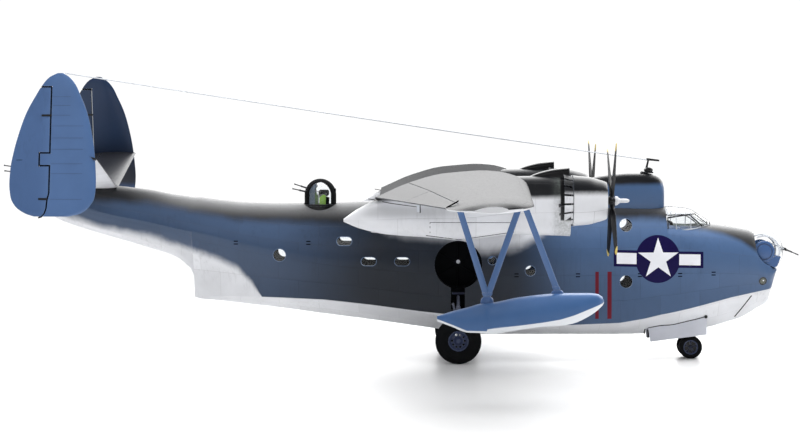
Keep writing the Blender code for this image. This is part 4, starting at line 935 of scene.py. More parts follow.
def hull_section(x):
    """Half outline of the hull at X, from the keel to the deck's middle, as (y, z) rows."""
    key = round(float(x), 2)
    if key in _sections:
        return _sections[key]
    _, keel, chine_z, chine_y, waist_z, waist_y, deck, square = read_curve(HULL_LINES, [key])[0]
    keel_y = min(KEEL_FLAT_HALF_WIDTH, chine_y * 0.5)
    points = [(0.0, keel)]
    for t in np.linspace(0, 1, 7):
        points.append((keel_y + (chine_y - keel_y) * t, keel + (chine_z - keel) * t * (1 - 0.24 * (1 - t))))
    rises = np.linspace(0, 1, 9)[1:]
    flares = read_curve(list(zip(SIDE_RISES, SIDE_FLARES)), rises)[:, 1]
    for rise, flare in zip(rises, flares):
        points.append((chine_y + (waist_y - chine_y) * flare, chine_z + (waist_z - chine_z) * rise))
    for angle in np.linspace(0, pi / 2, 17)[1:]:
        across, up = max(cos(angle), 0.0) ** (2 / square), sin(angle) ** (2 / square)
        points.append((waist_y * across, waist_z + (deck - waist_z) * up))
    points = np.array(points)
    if 115.0 < key < 125.0:
        cabin = hull_section(114.9)[1:]
        near = np.clip((57.5 - points[:, 1]) / 3.5, 0.0, 1.0) * (points[:, 1] > waist_z)
        share = (125.0 - key) / 10.0 * near
        points[:, 0] += (np.interp(points[:, 1], cabin[:, 1], cabin[:, 0]) - points[:, 0]) * share
    _sections[key] = points
    return points


def hull_side_y(x, z):
    """Half beam of the hull at a height, above the keel flat."""
    outline = hull_section(x)[1:]
    return float(np.interp(z, outline[:, 1], outline[:, 0]))


def both_sides(x, half, middle=0.0):
    """A closed ring from half an outline and its mirror image."""
    return [(x, middle + y, z) for y, z in half] + [(x, middle - y, z) for y, z in half[-2:0:-1]]


def cabin_piece(name, floor, ends):
    """The hollow inside the hull, above a floor line."""
    rings = []
    for x in spaced(ends, 4.0):
        low, high = straight(floor, x), float(hull_section(x)[-1, 1]) - SKIN
        half = []
        for z in np.linspace(low, high, 12):
            levels = (z - SKIN, z, min(z + SKIN, high + 0.9 * SKIN))
            y = min(hull_side_y(x, level) for level in levels) - SKIN
            half.append((max(y, 0.6), z))
        rings.append([(x, y, z) for y, z in half] + [(x, -y, z) for y, z in reversed(half)])
    # The inside is painted near black, as painted shade for the unlit cabin.
    return Piece(name).skin(rings, "dark_inside")


def stadium(x, z, length, height, grow=0.0):
    """Outline of a long window with round ends, in X and Z."""
    reach, radius = (length - height) / 2, height / 2 + grow
    points = []
    for end, first in ((1, -90), (-1, 90)):
        for k in range(9):
            across, up = polar(radius, radians(first + 180 * k / 8))
            points.append((x + end * reach + across, z + up))
    return points


def circle(x, z, radius, steps=28):
    spots = [polar(radius, 2 * pi * k / steps) for k in range(steps)]
    return [(x + across, z + up) for across, up in spots]


def window_outlines(grow=0.0):
    length, height = LONG_WINDOW_SIZE
    found = [circle(x, z, radius + grow) for x, z, radius in ROUND_WINDOWS]
    return found + [stadium(x, z, length, height, grow) for x, z in LONG_WINDOWS]


def turret_socket(name, centre, radius):
    """The hollow that a ball turret sits in, with a gap all round."""
    profile = ball_profile(radius + SEAM, 21)
    return Piece(name).lathe(profile, (centre[0], 0, centre[1]), ALONG_Y, "dark_inside", 40)


BOW_BALL, BOW_BALL_RADIUS = (157.6, 46.6), 9.0
TAIL_BALL, TAIL_BALL_RADIUS = (-160.6, 78.2), 6.4


def make_hull():
    rings = [both_sides(x, hull_section(x)) for x in spaced([row[0] for row in HULL_LINES], 2.0)]
    steps = np.linalg.norm(np.diff(hull_section(30.0), axis=0), axis=1)
    half = np.concatenate([[0.0], np.cumsum(steps)])
    across = np.concatenate([half, half[-2::-1]])
    hull = Piece("hull_shell").skin(rings, "hull_paint", across=across)
    windows = Piece("window_cut")
    for outline in window_outlines():
        windows.prism(outline, 1, -30, 30, "hull_paint")
    for sign in SIDES.values():
        windows.prism(circle(BOW_LIGHT[0], BOW_LIGHT[1], 1.25), 1, *span(sign, 4.0, 20.0), "dark_inside")
    wells = Piece("well_cut")
    slots = Piece("slot_cut")
    x, z = WELL_CENTRE
    for sign in SIDES.values():
        wells.rod((x, sign * WELL_BOTTOM_Y, z), (x, sign * 30, z), WELL_RADIUS, "dark_inside", sides=56)
        low, high = span(sign, 17.0, 30.0)
        slots.prism(rectangle(22.2, 28.2, 22.6, 33.5), 1, low, high, "dark_inside")
    bay = Piece("bay_cut").prism(rectangle(106.0, 132.0, -8.2, 8.2), 2, 0.0, 22.0, "dark_inside")
    outline = ((116.6, -9.6), (125.7, -8.6), (132.6, -4.0), (132.6, 4.0), (125.7, 8.6), (116.6, 9.6))
    cockpit = Piece("cockpit_cut").prism(outline, 2, 50, 70, "pale_interior")
    dorsal = Piece("dorsal_cut").rod(
        (DORSAL_X, 0, DORSAL_SEAT_Z), (DORSAL_X, 0, 80), DORSAL_RADIUS + 0.5, "dark_inside", sides=48
    )
    aft = cabin_piece("aft_cabin", AFT_FLOOR, (-84.0, -78.0, -60.0, 8.0))
    roof = DORSAL_SEAT_Z - 1.5
    aft.points = [
        (x, y, min(z, roof if abs(x - DORSAL_X) < DORSAL_RADIUS + 3.0 else z)) for x, y, z in aft.points
    ]
    forward = cabin_piece("forward_cabin", FORWARD_FLOOR, (37.0, 60.0, 80.0, 104.0, 114.6))
    nose = cabin_piece("nose_cabin", FORWARD_FLOOR, (115.4, 125.0, 136.0, 146.0))
    door = Piece("doorway").block((113.0, -8.0, 27.5), (117.0, 8.0, 47.0), "dark_inside", 0.0)
    balls = [
        turret_socket("bow_socket", BOW_BALL, BOW_BALL_RADIUS),
        turret_socket("tail_socket", TAIL_BALL, TAIL_BALL_RADIUS),
    ]
    hull.make(
        stands_for=("hull_port", "hull_starboard"),
        cuts=[aft, forward, nose, door, windows, wells, slots, bay, cockpit, dorsal, *balls],
    )


def on_side(sign, x, z, lift):
    return (x, sign * (hull_side_y(x, z) + lift), z)


def cut_to_grid(outline, pitch):
    """Points and faces of a flat outline in X and Z, cut along a grid to follow a curved side."""
    shape = bmesh.new()
    shape.faces.new([shape.verts.new((x, 0.0, z)) for x, z in outline])
    xs, zs = [p[0] for p in outline], [p[1] for p in outline]
    for axis, values in ((ALONG_X, xs), (ALONG_Z, zs)):
        for level in np.arange(ceil(min(values) / pitch) * pitch, max(values), pitch):
            bmesh.ops.bisect_plane(
                shape, geom=shape.verts[:] + shape.edges[:] + shape.faces[:],
                plane_co=[level * a for a in axis], plane_no=axis,
            )
    shape.verts.index_update()
    points = [tuple(v.co) for v in shape.verts]
    faces = [[v.index for v in face.verts] for face in shape.faces]
    shape.free()
    return points, faces


def side_patch(piece, sign, outline, lift, paint, pitch=1.0):
    """A thin coat of paint on the hull's side."""
    points, faces = cut_to_grid(outline, pitch)
    piece.add([on_side(sign, x, z, lift) for x, _, z in points], faces, paint)


def side_band(piece, sign, inner, outer, lift, paint):
    """A raised rim between two outlines on the hull's side."""
    count, depth = len(inner), 0.3
    rings = []
    for outline, level in ((inner, -depth), (inner, lift), (outer, lift), (outer, -depth)):
        rings.append([on_side(sign, x, z, level) for x, z in outline])
    points = [p for ring in rings for p in ring]
    faces = []
    for r in range(3):
        for k in range(count):
            j = (k + 1) % count
            faces.append((r * count + k, r * count + j, (r + 1) * count + j, (r + 1) * count + k))
    piece.add(points, faces, paint)


STAR_CENTRE = (110.6, 44.1)
STAR_DISC = (9.6, 10.2)
STAR_RADIUS = 9.1
BAR_SLOPE = 0.026


def star_outline(centre, radius):
    points = []
    for k in range(10):
        reach = radius if k % 2 == 0 else radius * 0.382
        across, up = polar(reach, pi / 2 + pi * k / 5)
        points.append((centre[0] + across, centre[1] + up))
    return points


def rectangle(x0, x1, z0, z1):
    return [(x0, z0), (x1, z0), (x1, z1), (x0, z1)]


def make_keel_lines():
    """The seam of the bow's lower plate, on both sides."""
    seams = Piece("keel_seams")
    for sign in SIDES.values():
        side_patch(
            seams, sign,
            ((145.2, 18.2), (145.7, 18.0), (152.3, 27.6), (151.9, 27.9)), 0.04, "dark_inside", 0.7,
        )
    seams.make()


def make_hull_markings():
    x, z = STAR_CENTRE
    wide, high = STAR_DISC

    def bar(x0, x1, half):
        return [(px, pz - (px - x) * BAR_SLOPE) for px, pz in rectangle(x0, x1, z - half, z + half)]

    for side, sign in SIDES.items():
        star = Piece("star_marking_" + side)
        side_patch(star, sign, bar(91.7, 130.3, 3.5), 0.03, "navy_marking")
        disc = [(x + (px - x) * wide / high, pz) for px, pz in circle(x, z, high, 72)]
        side_patch(star, sign, disc, 0.05, "navy_marking")
        for low, top in ((92.95, x - wide * 0.955), (x + wide * 0.955, 129.05)):
            side_patch(star, sign, bar(low, top, 2.35), 0.07, "white_marking")
        side_patch(star, sign, star_outline((x + 0.2, z), STAR_RADIUS), 0.09, "white_marking")
        star.make()
        stripes = Piece("red_stripes_" + side)
        for low, top in ((83.8, 85.3), (89.0, 90.8)):
            side_patch(stripes, sign, rectangle(low, top, 18.7, 38.8), 0.04, "red_marking")
        stripes.make()


def side_pane(piece, sign, outline):
    """A clear pane with two faces, joined round its edge, that follows the hull's side."""
    x, z = np.mean(outline, axis=0)
    rings = []
    shares = (0.02, 0.35, 0.7, 1.0)
    for level, shares in ((-0.4, shares), (-0.8, shares[::-1])):
        for share in shares:
            rings.append([on_side(sign, x + (a - x) * share, z + (b - z) * share, level) for a, b in outline])
    piece.skin(rings, "clear_plastic")


def make_windows():
    panes, rims = Piece("side_window_panes"), Piece("side_window_rims")
    for sign in SIDES.values():
        for inner, outer in zip(window_outlines(-0.02), window_outlines(0.2)):
            side_band(rims, sign, inner, outer, 0.07, "rim_paint")
            side_pane(panes, sign, inner)
    panes.make(slot="clear_plastic")
    rims.make()


def make_hand_grips():
    """Pairs of short dark slots along the hull's side."""
    grips = Piece("hand_grips")
    spots = (
        (-70.0, 50.9), (-38.8, 50.9), (50.2, 37.3), (76.4, 37.3), (102.9, 37.3), (120.2, 37.3), (134.8, 37.7)
    )
    for sign in SIDES.values():
        for x, z in spots:
            for level in (z - 0.6, z + 0.6):
                side_patch(grips, sign, stadium(x, level, 1.9, 0.45), 0.03, "dark_inside")
    grips.make()


# Wings

FOIL_STEPS = tuple(0.5 - 0.5 * cos(pi * k / 26) for k in range(27))
FOIL_HEIGHTS = read_curve(
    [(sqrt(share), above, below) for share, above, below in FOIL_FORM], np.sqrt(FOIL_STEPS)
)[:, 1:]


def foil_ring(y, row):
    """A wing section placed at y, from the trailing edge over the top and back below."""
    _, le_x, le_z, te_x, te_z, thickness = row
    chord = le_x - te_x
    upper, lower = [], []
    for share, (above, below) in zip(FOIL_STEPS, FOIL_HEIGHTS):
        x, z = le_x - chord * share, le_z + (te_z - le_z) * share
        edge = TRAILING_THICKNESS / 2 * share
        upper.append((x, y, z + above * thickness * UPPER_SHARE + edge))
        lower.append((x, y, z - below * thickness * (1 - UPPER_SHARE) - edge))
    return list(reversed(upper)) + lower[1:]


def wing_skin(name, rows, sign, paint):
    return Piece(name).skin([foil_ring(sign * row[0], row) for row in rows], paint)


def row_at(first, last, y):
    share = (y - first[0]) / (last[0] - first[0])
    return [a + (b - a) * share for a, b in zip(first, last)]


def surface_zone(name, sign, y_range, hinge_x, back_x, margin, paint):
    (y0, y1), (x0, x1) = y_range, hinge_x
    outline = (
        (x0 + margin, sign * (y0 - margin)),
        (x1 + margin, sign * (y1 + margin)),
        (back_x, sign * (y1 + margin)),
        (back_x, sign * (y0 - margin)),
    )
    return Piece(name).prism(outline, 2, 40, 110, paint)


def hull_clearance(grow=SEAM):
    rings = []
    for x in spaced([row[0] for row in HULL_LINES], 4.0):
        half = hull_section(x)
        middle = np.array((0.0, 45.0))
        away = half - middle
        half = half + away / np.maximum(np.linalg.norm(away, axis=1), 1.0)[:, None] * grow
        rings.append(both_sides(x, half))
    return Piece("hull_clearance").skin(rings, "hull_paint")


def tip_rows():
    """The wing's outer end, rounded."""
    stations = (232, 234, 236, 238, 240, 242, 243.5, 245, 246.3, 247.5, 248.5, 249.3, 249.75)
    return [list(row) for row in read_curve([WING_OUTER, *WING_TIP], stations)]


def make_wing(side):
    sign = SIDES[side]
    end = row_at(WING_ROOT, WING_BREAK, WING_BREAK[0] - SEAM)
    inner_rows = [row_at(WING_ROOT, end, y) for y in np.linspace(WING_ROOT[0], end[0], 14)]
    wing_skin("inner_wing_" + side, inner_rows, sign, "wing_paint").stand_in(cuts=[hull_clearance()])
    stations = np.linspace(WING_BREAK[0], WING_OUTER[0], 36)
    rows = [row_at(WING_BREAK, WING_OUTER, y) for y in stations] + tip_rows()
    gaps = []
    for label, y_range in (("flap", FLAP_Y), ("aileron", AILERON_Y)):
        hinge = (HINGE_X[y_range[0]], HINGE_X[y_range[1]])
        gaps.append(surface_zone(label + "_gap", sign, y_range, hinge, -30, SEAM / 2, "dark_inside"))
        inside = surface_zone(label + "_zone", sign, y_range, hinge, -30, -SEAM / 2, "dark_inside")
        wing_skin(f"{label}_{side}", rows, sign, "surface_paint").stand_in(keeps=[inside])
    wing_skin("outer_wing_" + side, rows, sign, "wing_paint").stand_in(cuts=gaps)
    details = Piece("wing_details_" + side)
    y = sign * AILERON_Y[1]
    # Painted shadow: a dark rod along the aileron's outer end, for the shaded gap there.
    details.rod((22.6, y, 77.45), (18.4, y, 75.1), 0.3, "dark_inside", sides=10)
    low, high = span(sign, 136.9, 137.9)
    details.prism(((8.3, 69.6), (9.3, 69.7), (9.3, 73.4), (8.1, 73.2)), 1, low, high, "sill_white")
    # Painted shadow: a dark strip beside the white flap bracket.
    details.prism(((9.31, 69.2), (9.7, 69.3), (9.6, 73.3), (9.31, 73.4)), 1, low, high, "dark_inside")
    details.make()


# Engines

NACELLE_LINES = (
    (70.5, 9.3, 56.1, 80.4, 2.2),
    (60.0, 9.6, 56.5, 80.8, 2.4),
    (48.0, 9.7, 56.7, 80.6, 2.7),
    (26.0, 9.2, 54.5, 79.0, 2.6),
    (10.8, 8.0, 55.6, 76.5, 2.5),
    (-5.0, 5.6, 56.8, 72.6, 2.3),
    (-16.0, 2.9, 59.3, 67.4, 2.2),
    (-22.2, 0.7, 61.9, 63.1, 2.0),
)
SCOOP_LINES = (
    (70.2, 3.3, 78.0, 84.2),
    (64.0, 3.3, 78.0, 83.6),
    (57.0, 2.6, 78.0, 81.9),
    (53.0, 1.6, 78.0, 80.2),
)
COWL_X = (71.6, 85.6)
COWL_RADIUS = 10.4
CYLINDERS = 9
BLADE_LINES = (
    (1.5, 0.75, 0.75, 40.0),
    (5.0, 0.8, 0.7, 38.0),
    (9.0, 1.7, 0.5, 28.0),
    (15.0, 2.2, 0.4, 20.0),
    (22.0, 2.25, 0.32, 15.0),
    (28.0, 1.85, 0.25, 12.5),
    (30.6, 1.15, 0.2, 11.5),
    (PROP_RADIUS, 0.3, 0.12, 11.0),
)


def oval_ring(x, y, half_width, low, high, square):
    ring = []
    for k in range(64):
        across, up = polar(1, 2 * pi * k / 64)
        side = half_width * copysign(abs(across) ** (2 / square), across)
        lift = (high - low) / 2 * copysign(abs(up) ** (2 / square), up)
        ring.append((x, y + side, (low + high) / 2 + lift))
    return ring


def nacelle_side_y(x, z):
    _, width, low, high, square = read_curve(NACELLE_LINES, [x])[0]
    up = abs(z - (low + high) / 2) / ((high - low) / 2)
    return width * max(1 - up**square, 0.0) ** (1 / square)


def make_nacelle(side):
    y = SIDES[side] * NACELLE_Y
    rows = rows_every(NACELLE_LINES, 1.6)
    chin = Piece("chin_mouth").block((68.6, y - 4.0, 57.3), (72.0, y + 4.0, 59.2), "dark_inside", 0.5)
    nacelle = Piece("nacelle_" + side).skin([oval_ring(row[0], y, *row[1:]) for row in rows], "nacelle_paint")
    nacelle.stand_in(cuts=[chin])
    rows = rows_every(SCOOP_LINES, 1.0)
    mouth = Piece("scoop_mouth").block((66.4, y - 2.5, 81.3), (72.0, y + 2.5, 83.6), "dark_inside", 0.6)
    scoop = Piece("carburettor_scoop_" + side).skin(
        [oval_ring(*row[:1], y, *row[1:], 3.0) for row in rows], "black_paint"
    )
    scoop.make(cuts=[mouth])
    lines = Piece("bay_door_lines_" + side)
    for sign in SIDES.values():
        # Painted shadows: the first outline is a dark line along the nacelle's lower side for its contact
        # shadow, the second a dark line under the wing's trailing edge. The two rectangles are the bay door's
        # lines.
        edge = [(11.6, 56.7), (25.0, 54.9), (47.5, 58.2), (47.5, 57.95), (25.0, 54.65), (11.6, 56.4)]
        flap_shadow_line = [(-12.1, 71.5), (-3.0, 69.9), (7.8, 68.5), (7.8, 68.25), (-3.0, 69.6), (-12.1, 71.2)]
        for outline in (
            edge, flap_shadow_line, rectangle(13.3, 48.0, 61.95, 62.15), rectangle(13.15, 13.35, 57.6, 62.2)
        ):
            points, faces = cut_to_grid(outline, 2.0)
            lines.add(
                [(x, y + sign * (nacelle_side_y(x, z) + 0.03), z) for x, _, z in points], faces, "dark_inside"
            )
        for angle in (-0.5, -0.15):
            out = (sign * cos(angle), sin(angle))
            start = (68.6, y + out[0] * 8.9, THRUST_Z + out[1] * 9.4)
            end = (65.6, y + out[0] * 10.2, THRUST_Z + out[1] * 10.8)
            lines.rod(start, end, 0.65, "dark_metal", sides=16)
    lines.make()


def cowl_profile():
    """The cowl's section, from its rear edge, round the lip, and back inside."""
    front = COWL_X[1] - COWL_X[0]
    table = [(0.2, 7.6), (1.1, 8.0), (3.8, 8.8), (7.2, 9.7), (12.0, 10.2), (front, COWL_RADIUS)]
    outside = [(radius, front - back) for back, radius in read_curve(table, np.linspace(front, 0.2, 18))]
    lip = [(7.35, front - 0.03), (7.1, front), (6.85, front - 0.15), (6.7, front - 0.6), (6.8, front - 1.2)]
    inside = [(7.6, front - 2.6), (8.4, front - 5.0), (9.3, front - 8.6), (9.6, front - 12.0), (9.6, 0.0)]
    return outside + lip + inside + [(COWL_RADIUS, 0.0)]


def make_cowl(side):
    y = SIDES[side] * NACELLE_Y
    cowl = Piece("cowl_" + side).lathe(cowl_profile(), (COWL_X[0], y, THRUST_Z), ALONG_X, "cowl_paint", 96)
    cowl.stand_in(crease=40)
    flaps = Piece("cowl_flaps_" + side)
    width = radians(14.8)
    for k in (-8, -7, -6, -5, -4, -3, -2, 1, 2, 3, 4, 5, 6, 7):
        middle = pi / 2 + radians(19.0) * (k + 0.5)
        angles = list(np.linspace(middle - width / 2, middle + width / 2, 8))
        rings = []
        for x, low, high in ((71.3, 10.35, 10.65), (69.8, 10.75, 11.05), (67.7, 11.5, 11.75)):
            ring = [(low, a) for a in angles] + [(high, a) for a in reversed(angles)]
            rings.append([(x, y + r * cos(a), THRUST_Z + r * sin(a)) for r, a in ring])
        flaps.skin(rings, "flap_white")
        ends = [(x, *polar(radius, middle)) for x, radius in ((70.6, 9.0), (68.6, 11.2))]
        inner, outer = [(x, y + across, THRUST_Z + up) for x, across, up in ends]
        flaps.rod(inner, outer, 0.16, "dark_metal", sides=8)
    ring = ((10.4, 0.0), (10.4, 0.45), (9.6, 0.45), (9.6, 0.0), (10.4, 0.0))
    flaps.lathe(ring, (COWL_X[0] - SEAM - 0.45, y, THRUST_Z), ALONG_X, "dark_metal", 72)
    flaps.stand_in(slot="white_paint")


def finned_barrel():
    """Section of a cooled cylinder: thin fins one above the other."""
    profile = [(0.0, 0.0)]
    for k in range(11):
        height = 0.3 + 0.42 * k
        profile += [(0.92, height), (1.2, height + 0.07), (1.2, height + 0.18), (0.92, height + 0.25)]
    return profile + [(0.85, 4.95), (0.5, 5.0), (0.0, 5.0)]


def make_engine(side):
    y = SIDES[side] * NACELLE_Y
    rear = COWL_X[0] - SEAM - 0.2
    case = [
        (0, 14.4), (0.9, 14.4), (1.1, 14.2), (1.15, 13.2), (1.5, 12.6), (2.3, 11.9), (2.9, 11.0), (3.3, 9.8),
        (3.5, 9.0),
    ]
    case += [(3.7, 8.9), (3.7, 6.4), (3.9, 6.2), (3.9, 1.6), (9.2, 1.2), (9.2, 0.0), (0, 0)]
    engine = Piece("engine_" + side).lathe(case, (rear, y, THRUST_Z), ALONG_X, "gear_paint", 48)
    for row, x in enumerate((rear + 4.2, rear + 8.0)):
        for k in range(CYLINDERS):
            angle = 2 * pi * (k + 0.5 * row) / CYLINDERS + pi / 2
            out, along = Vector((0, cos(angle), sin(angle))), Vector((0, -sin(angle), cos(angle)))
            hub = Vector((x, y, THRUST_Z))
            engine.lathe(finned_barrel(), hub + out * 3.3, out, "dark_metal", 16)
            nose = Vector((rear + 9.9, y, THRUST_Z))
            for lean in (-0.55, 0.55):
                head = hub + out * 8.0 + along * lean + Vector((0.9, 0, 0))
                engine.rod(hub + out * 7.4 + along * lean, head, 0.42, "dark_metal", sides=10)
                engine.rod(nose + out * 3.1 + along * lean * 0.7, head, 0.15, "black_paint", sides=8)
            engine.wire(
                [nose + out * 3.9, nose + out * 5.6 + along * 1.4, hub + out * 7.0 + along * 0.9], 0.09,
                "steel", 6, ALONG_X,
            )
    engine.lathe(hoop_profile(4.1, 0.16), (rear + 9.9, y, THRUST_Z), ALONG_X, "steel", 48)
    engine.stand_in(slot="engine_metal_paint")


def blade_rings(angle):
    """A propeller blade: a round shank that widens to a thin twisted paddle."""
    turn = Matrix.Rotation(angle, 3, "X")
    rings = []
    rows = rows_every(BLADE_LINES, 0.9)
    for radius, half_chord, half_thick, pitch in rows:
        pitch = radians(pitch)
        ring = []
        for k in range(20):
            chord, thick = half_chord * cos(pi * k / 10), half_thick * sin(pi * k / 10)
            across = turn @ Vector((0.0, chord * cos(pitch) - thick * sin(pitch), radius))
            ring.append((chord * sin(pitch) + thick * cos(pitch), across.y, across.z))
        rings.append(ring)
    return rings


def make_propeller(side):
    """Built about its own hub, which is its origin."""
    propeller = Piece("propeller_" + side)
    # The dome and the blade clamps are metal; their white paint is a painted reflection of the bright light
    # they show.
    dome = [(0, 7.2), (0.3, 7.1), (0.6, 6.8), (0.8, 6.3), (0.86, 5.6), (0.86, 3.3), (1.1, 3.1), (1.2, 2.7)]
    propeller.lathe(
        dome + [(1.7, 2.4), (1.9, 1.7), (1.9, 1.3), (0, 1.3)], (0, 0, 0), ALONG_X, "white_paint", 40
    )
    hub = [(0, 1.2), (1.3, 1.2), (1.7, 0.9), (1.8, -0.9), (1.6, -1.5), (1.3, -1.9), (0, -1.9)]
    propeller.lathe(hub, (0, 0, 0), ALONG_X, "black_paint", 40)
    for k in range(4):
        angle = radians(PROP_PHASE[side]) + pi / 2 * k
        propeller.skin(blade_rings(angle), "blade_paint")
        out = Matrix.Rotation(angle, 3, "X") @ Vector((0, 0, 1))
        cuff = (
            (0, 0.6), (1.2, 0.6), (1.2, 2.7), (1.35, 2.75), (1.35, 3.2), (1.1, 3.3), (0.85, 3.7), (0, 3.7)
        )
        propeller.lathe(cuff, (0, 0, 0), out, "dark_metal", 20)
        # White paint here is a painted reflection, as on the dome.
        clamp = Vector((0.9, 0, 0)) + out * 1.1
        propeller.lathe(
            [(0, 0), (0.5, 0), (0.5, 0.7), (0.36, 0.85), (0, 0.85)], clamp, ALONG_X, "white_paint", 16
        )
    place = (PROP_X, SIDES[side] * NACELLE_Y, THRUST_Z)
    propeller.stand_in(body=propeller.name, slot="black_paint", origin=place)


# Wing floats

FLOAT_Y = 167.0
PEDESTALS = {"front": (56.7, 61.7, 39.8, 42.6), "rear": (31.5, 36.1, 36.2, 40.2)}
STRUT_CHORD = 2.4
STRUT_TOPS = {"front": ((46.4, 1.8),), "rear": ((22.7, 0.0), (46.4, -1.8))}
STRUT_TOP_Z = 76.0


def float_ring(row, y):
    x, width, low, chine, high = row
    half = [(width * t, low + (chine - low) * t * (1 - 0.16 * (1 - t))) for t in np.linspace(0, 1, 7)]
    for angle in np.linspace(0, pi / 2, 15)[1:]:
        across, up = max(cos(angle), 0.0) ** 0.72, sin(angle) ** 0.72
        half.append((width * across, chine + (high - chine) * up))
    return both_sides(x, half, y)


def strut_ring(centre, chord, thickness):
    x, y, z = centre
    ring = []
    for k in range(24):
        angle = 2 * pi * k / 24
        ring.append((x + chord / 2 * cos(angle), y + thickness / 2 * sin(angle) * (1 + 0.25 * cos(angle)), z))
    return ring


def make_float(side):
    sign = SIDES[side]
    y = sign * FLOAT_Y
    rows = rows_every(FLOAT_LINES, 1.5)
    body = Piece("float_" + side).skin([float_ring(row, y) for row in rows], "float_paint")
    for label, (low, high, foot_z, top_z) in PEDESTALS.items():
        middle, length = (low + high) / 2, high - low
        shape = (
            (foot_z, 1.08, 2.1), (top_z - 1.6, 1.02, 2.0), (top_z - 0.8, 0.92, 1.9), (top_z - 0.3, 0.76, 1.8),
            (top_z, 0.6, 1.4),
        )
        body.skin(
            [strut_ring((middle, y, z), length * wide, thick) for z, wide, thick in shape], "blue_paint"
        )
        struts = Piece(f"float_{label}_struts_{side}")
        for top_x, top_y in STRUT_TOPS[label]:
            base, tip = Vector((middle, y, top_z - 0.3)), Vector((top_x, y + sign * top_y, STRUT_TOP_Z - 0.5))
            path = [base.lerp(tip, t) for t in np.linspace(0, 1, 12)]
            struts.skin([strut_ring(point, STRUT_CHORD, 1.0) for point in path], "strut_paint")
            for t, wide in ((0.02, 1.15), (0.93, 1.12)):
                shoe = [
                    strut_ring(base.lerp(tip, t + step), STRUT_CHORD * wide, 1.0 * wide + 0.1)
                    for step in (0.0, 0.03)
                ]
                struts.skin(shoe, "strut_paint")
        struts.stand_in()
    body.stand_in()


# Tail

TAILPLANE_ROOT = (2.0, -122.8, 74.2, -149.5, 74.4, 3.0)
TAILPLANE_END = (61.5, -122.8, 87.6, -146.0, 87.0, 2.3)
ELEVATOR_Y = (12.0, 58.0)
ELEVATOR_HINGE = (-138.2, -138.2)
FIN_FOOT = (65.5, 64.4)
FIN_LEAN = 12.2 / 58.4
FIN_OUTLINE = (
    (64.4, -133.6, -148.0),
    (65.6, -129.0, -151.6),
    (68.6, -125.3, -155.8),
    (72.1, -123.5, -157.7),
    (78.0, -123.0, -158.4),
    (84.0, -123.3, -158.1),
    (90.5, -123.9, -157.0),
    (101.6, -125.9, -154.0),
    (107.0, -127.4, -152.0),
    (114.0, -130.3, -148.3),
    (118.0, -132.2, -145.9),
    (121.3, -135.0, -143.0),
    (122.9, -137.6, -139.8),
)
FIN_SECTION = ((0.0, 0.12), (0.02, 0.36), (0.06, 0.6), (0.14, 0.84), (0.25, 1.0), (0.6, 0.8), (1.0, 0.12))
RUDDER_HINGE_X = -142.0
RUDDER_TOP_Z = 117.2
RUDDER_NOTCH = (-146.3, 85.0, 90.2)
RUDDER_FOOT = ((-146.2, 63.9), (-145.0, 64.3), (-143.7, 65.6), (-143.0, 67.6), (-142.7, 71.0))
# Front end and heights of the lines engraved on the fin's outer face.
FIN_LINES = ((-128.5, (71.3, 81.7, 85.7, 91.6, 96.2, 101.1)), (-134.0, (105.5, 109.5, 113.05)))


def fin_middle_y(sign, z):
    return sign * (FIN_FOOT[0] - (z - FIN_FOOT[1]) * FIN_LEAN)


def fin_half_thickness(row, share):
    chord = row[1] - row[2]
    return min(2.5, 0.14 * chord + 0.35) / 2 * straight(FIN_SECTION, share)


def fin_ring(row, sign, grow=0.0):
    z, le_x, te_x = row
    shares = [0.5 - 0.5 * cos(pi * k / 14) for k in range(15)]
    y = fin_middle_y(sign, z)
    ring = []
    for face, order in ((1, shares), (-1, reversed(shares))):
        for share in order:
            x = le_x + grow - (le_x - te_x + 2 * grow) * share
            ring.append((x, y + face * (fin_half_thickness(row, share) + grow), z))
    return ring


def fin_skin(name, sign, paint, grow=0.0):
    levels = spaced([row[0] for row in FIN_OUTLINE], 1.2)
    levels = levels[:1] + [64.55, 64.8, 65.2] + levels[1:-1] + [122.0, 122.5, 122.75, 122.9]
    rows = read_curve(FIN_OUTLINE, sorted(set(levels)))
    return Piece(name).skin([fin_ring(row, sign, grow) for row in rows], paint)


def rudder_zone(name, margin):
    hinge, top = RUDDER_HINGE_X + margin, RUDDER_TOP_Z + margin
    notch_x, low, high = RUDDER_NOTCH
    foot = [(x + margin, z) for x, z in RUDDER_FOOT]
    outline = (
        (-170, 50), (-146.4 + margin, 50), *foot, (hinge, 74.0),
        (hinge, low + margin), (notch_x + margin, low + margin), (notch_x + margin, high - margin),
        (hinge, high - margin), (hinge, top), (-170, top),
    )
    return Piece(name).prism(outline, 1, -90, 90, "dark_inside")


def on_fin(sign, face, x, z, lift):
    """A point on one face of a fin or rudder. face is 1 on the port face and -1 on the other."""
    row = read_curve(FIN_OUTLINE, [z])[0]
    share = min(max((row[1] - x) / (row[1] - row[2]), 0.0), 1.0)
    return (x, fin_middle_y(sign, z) + face * (fin_half_thickness(row, share) + lift), z)


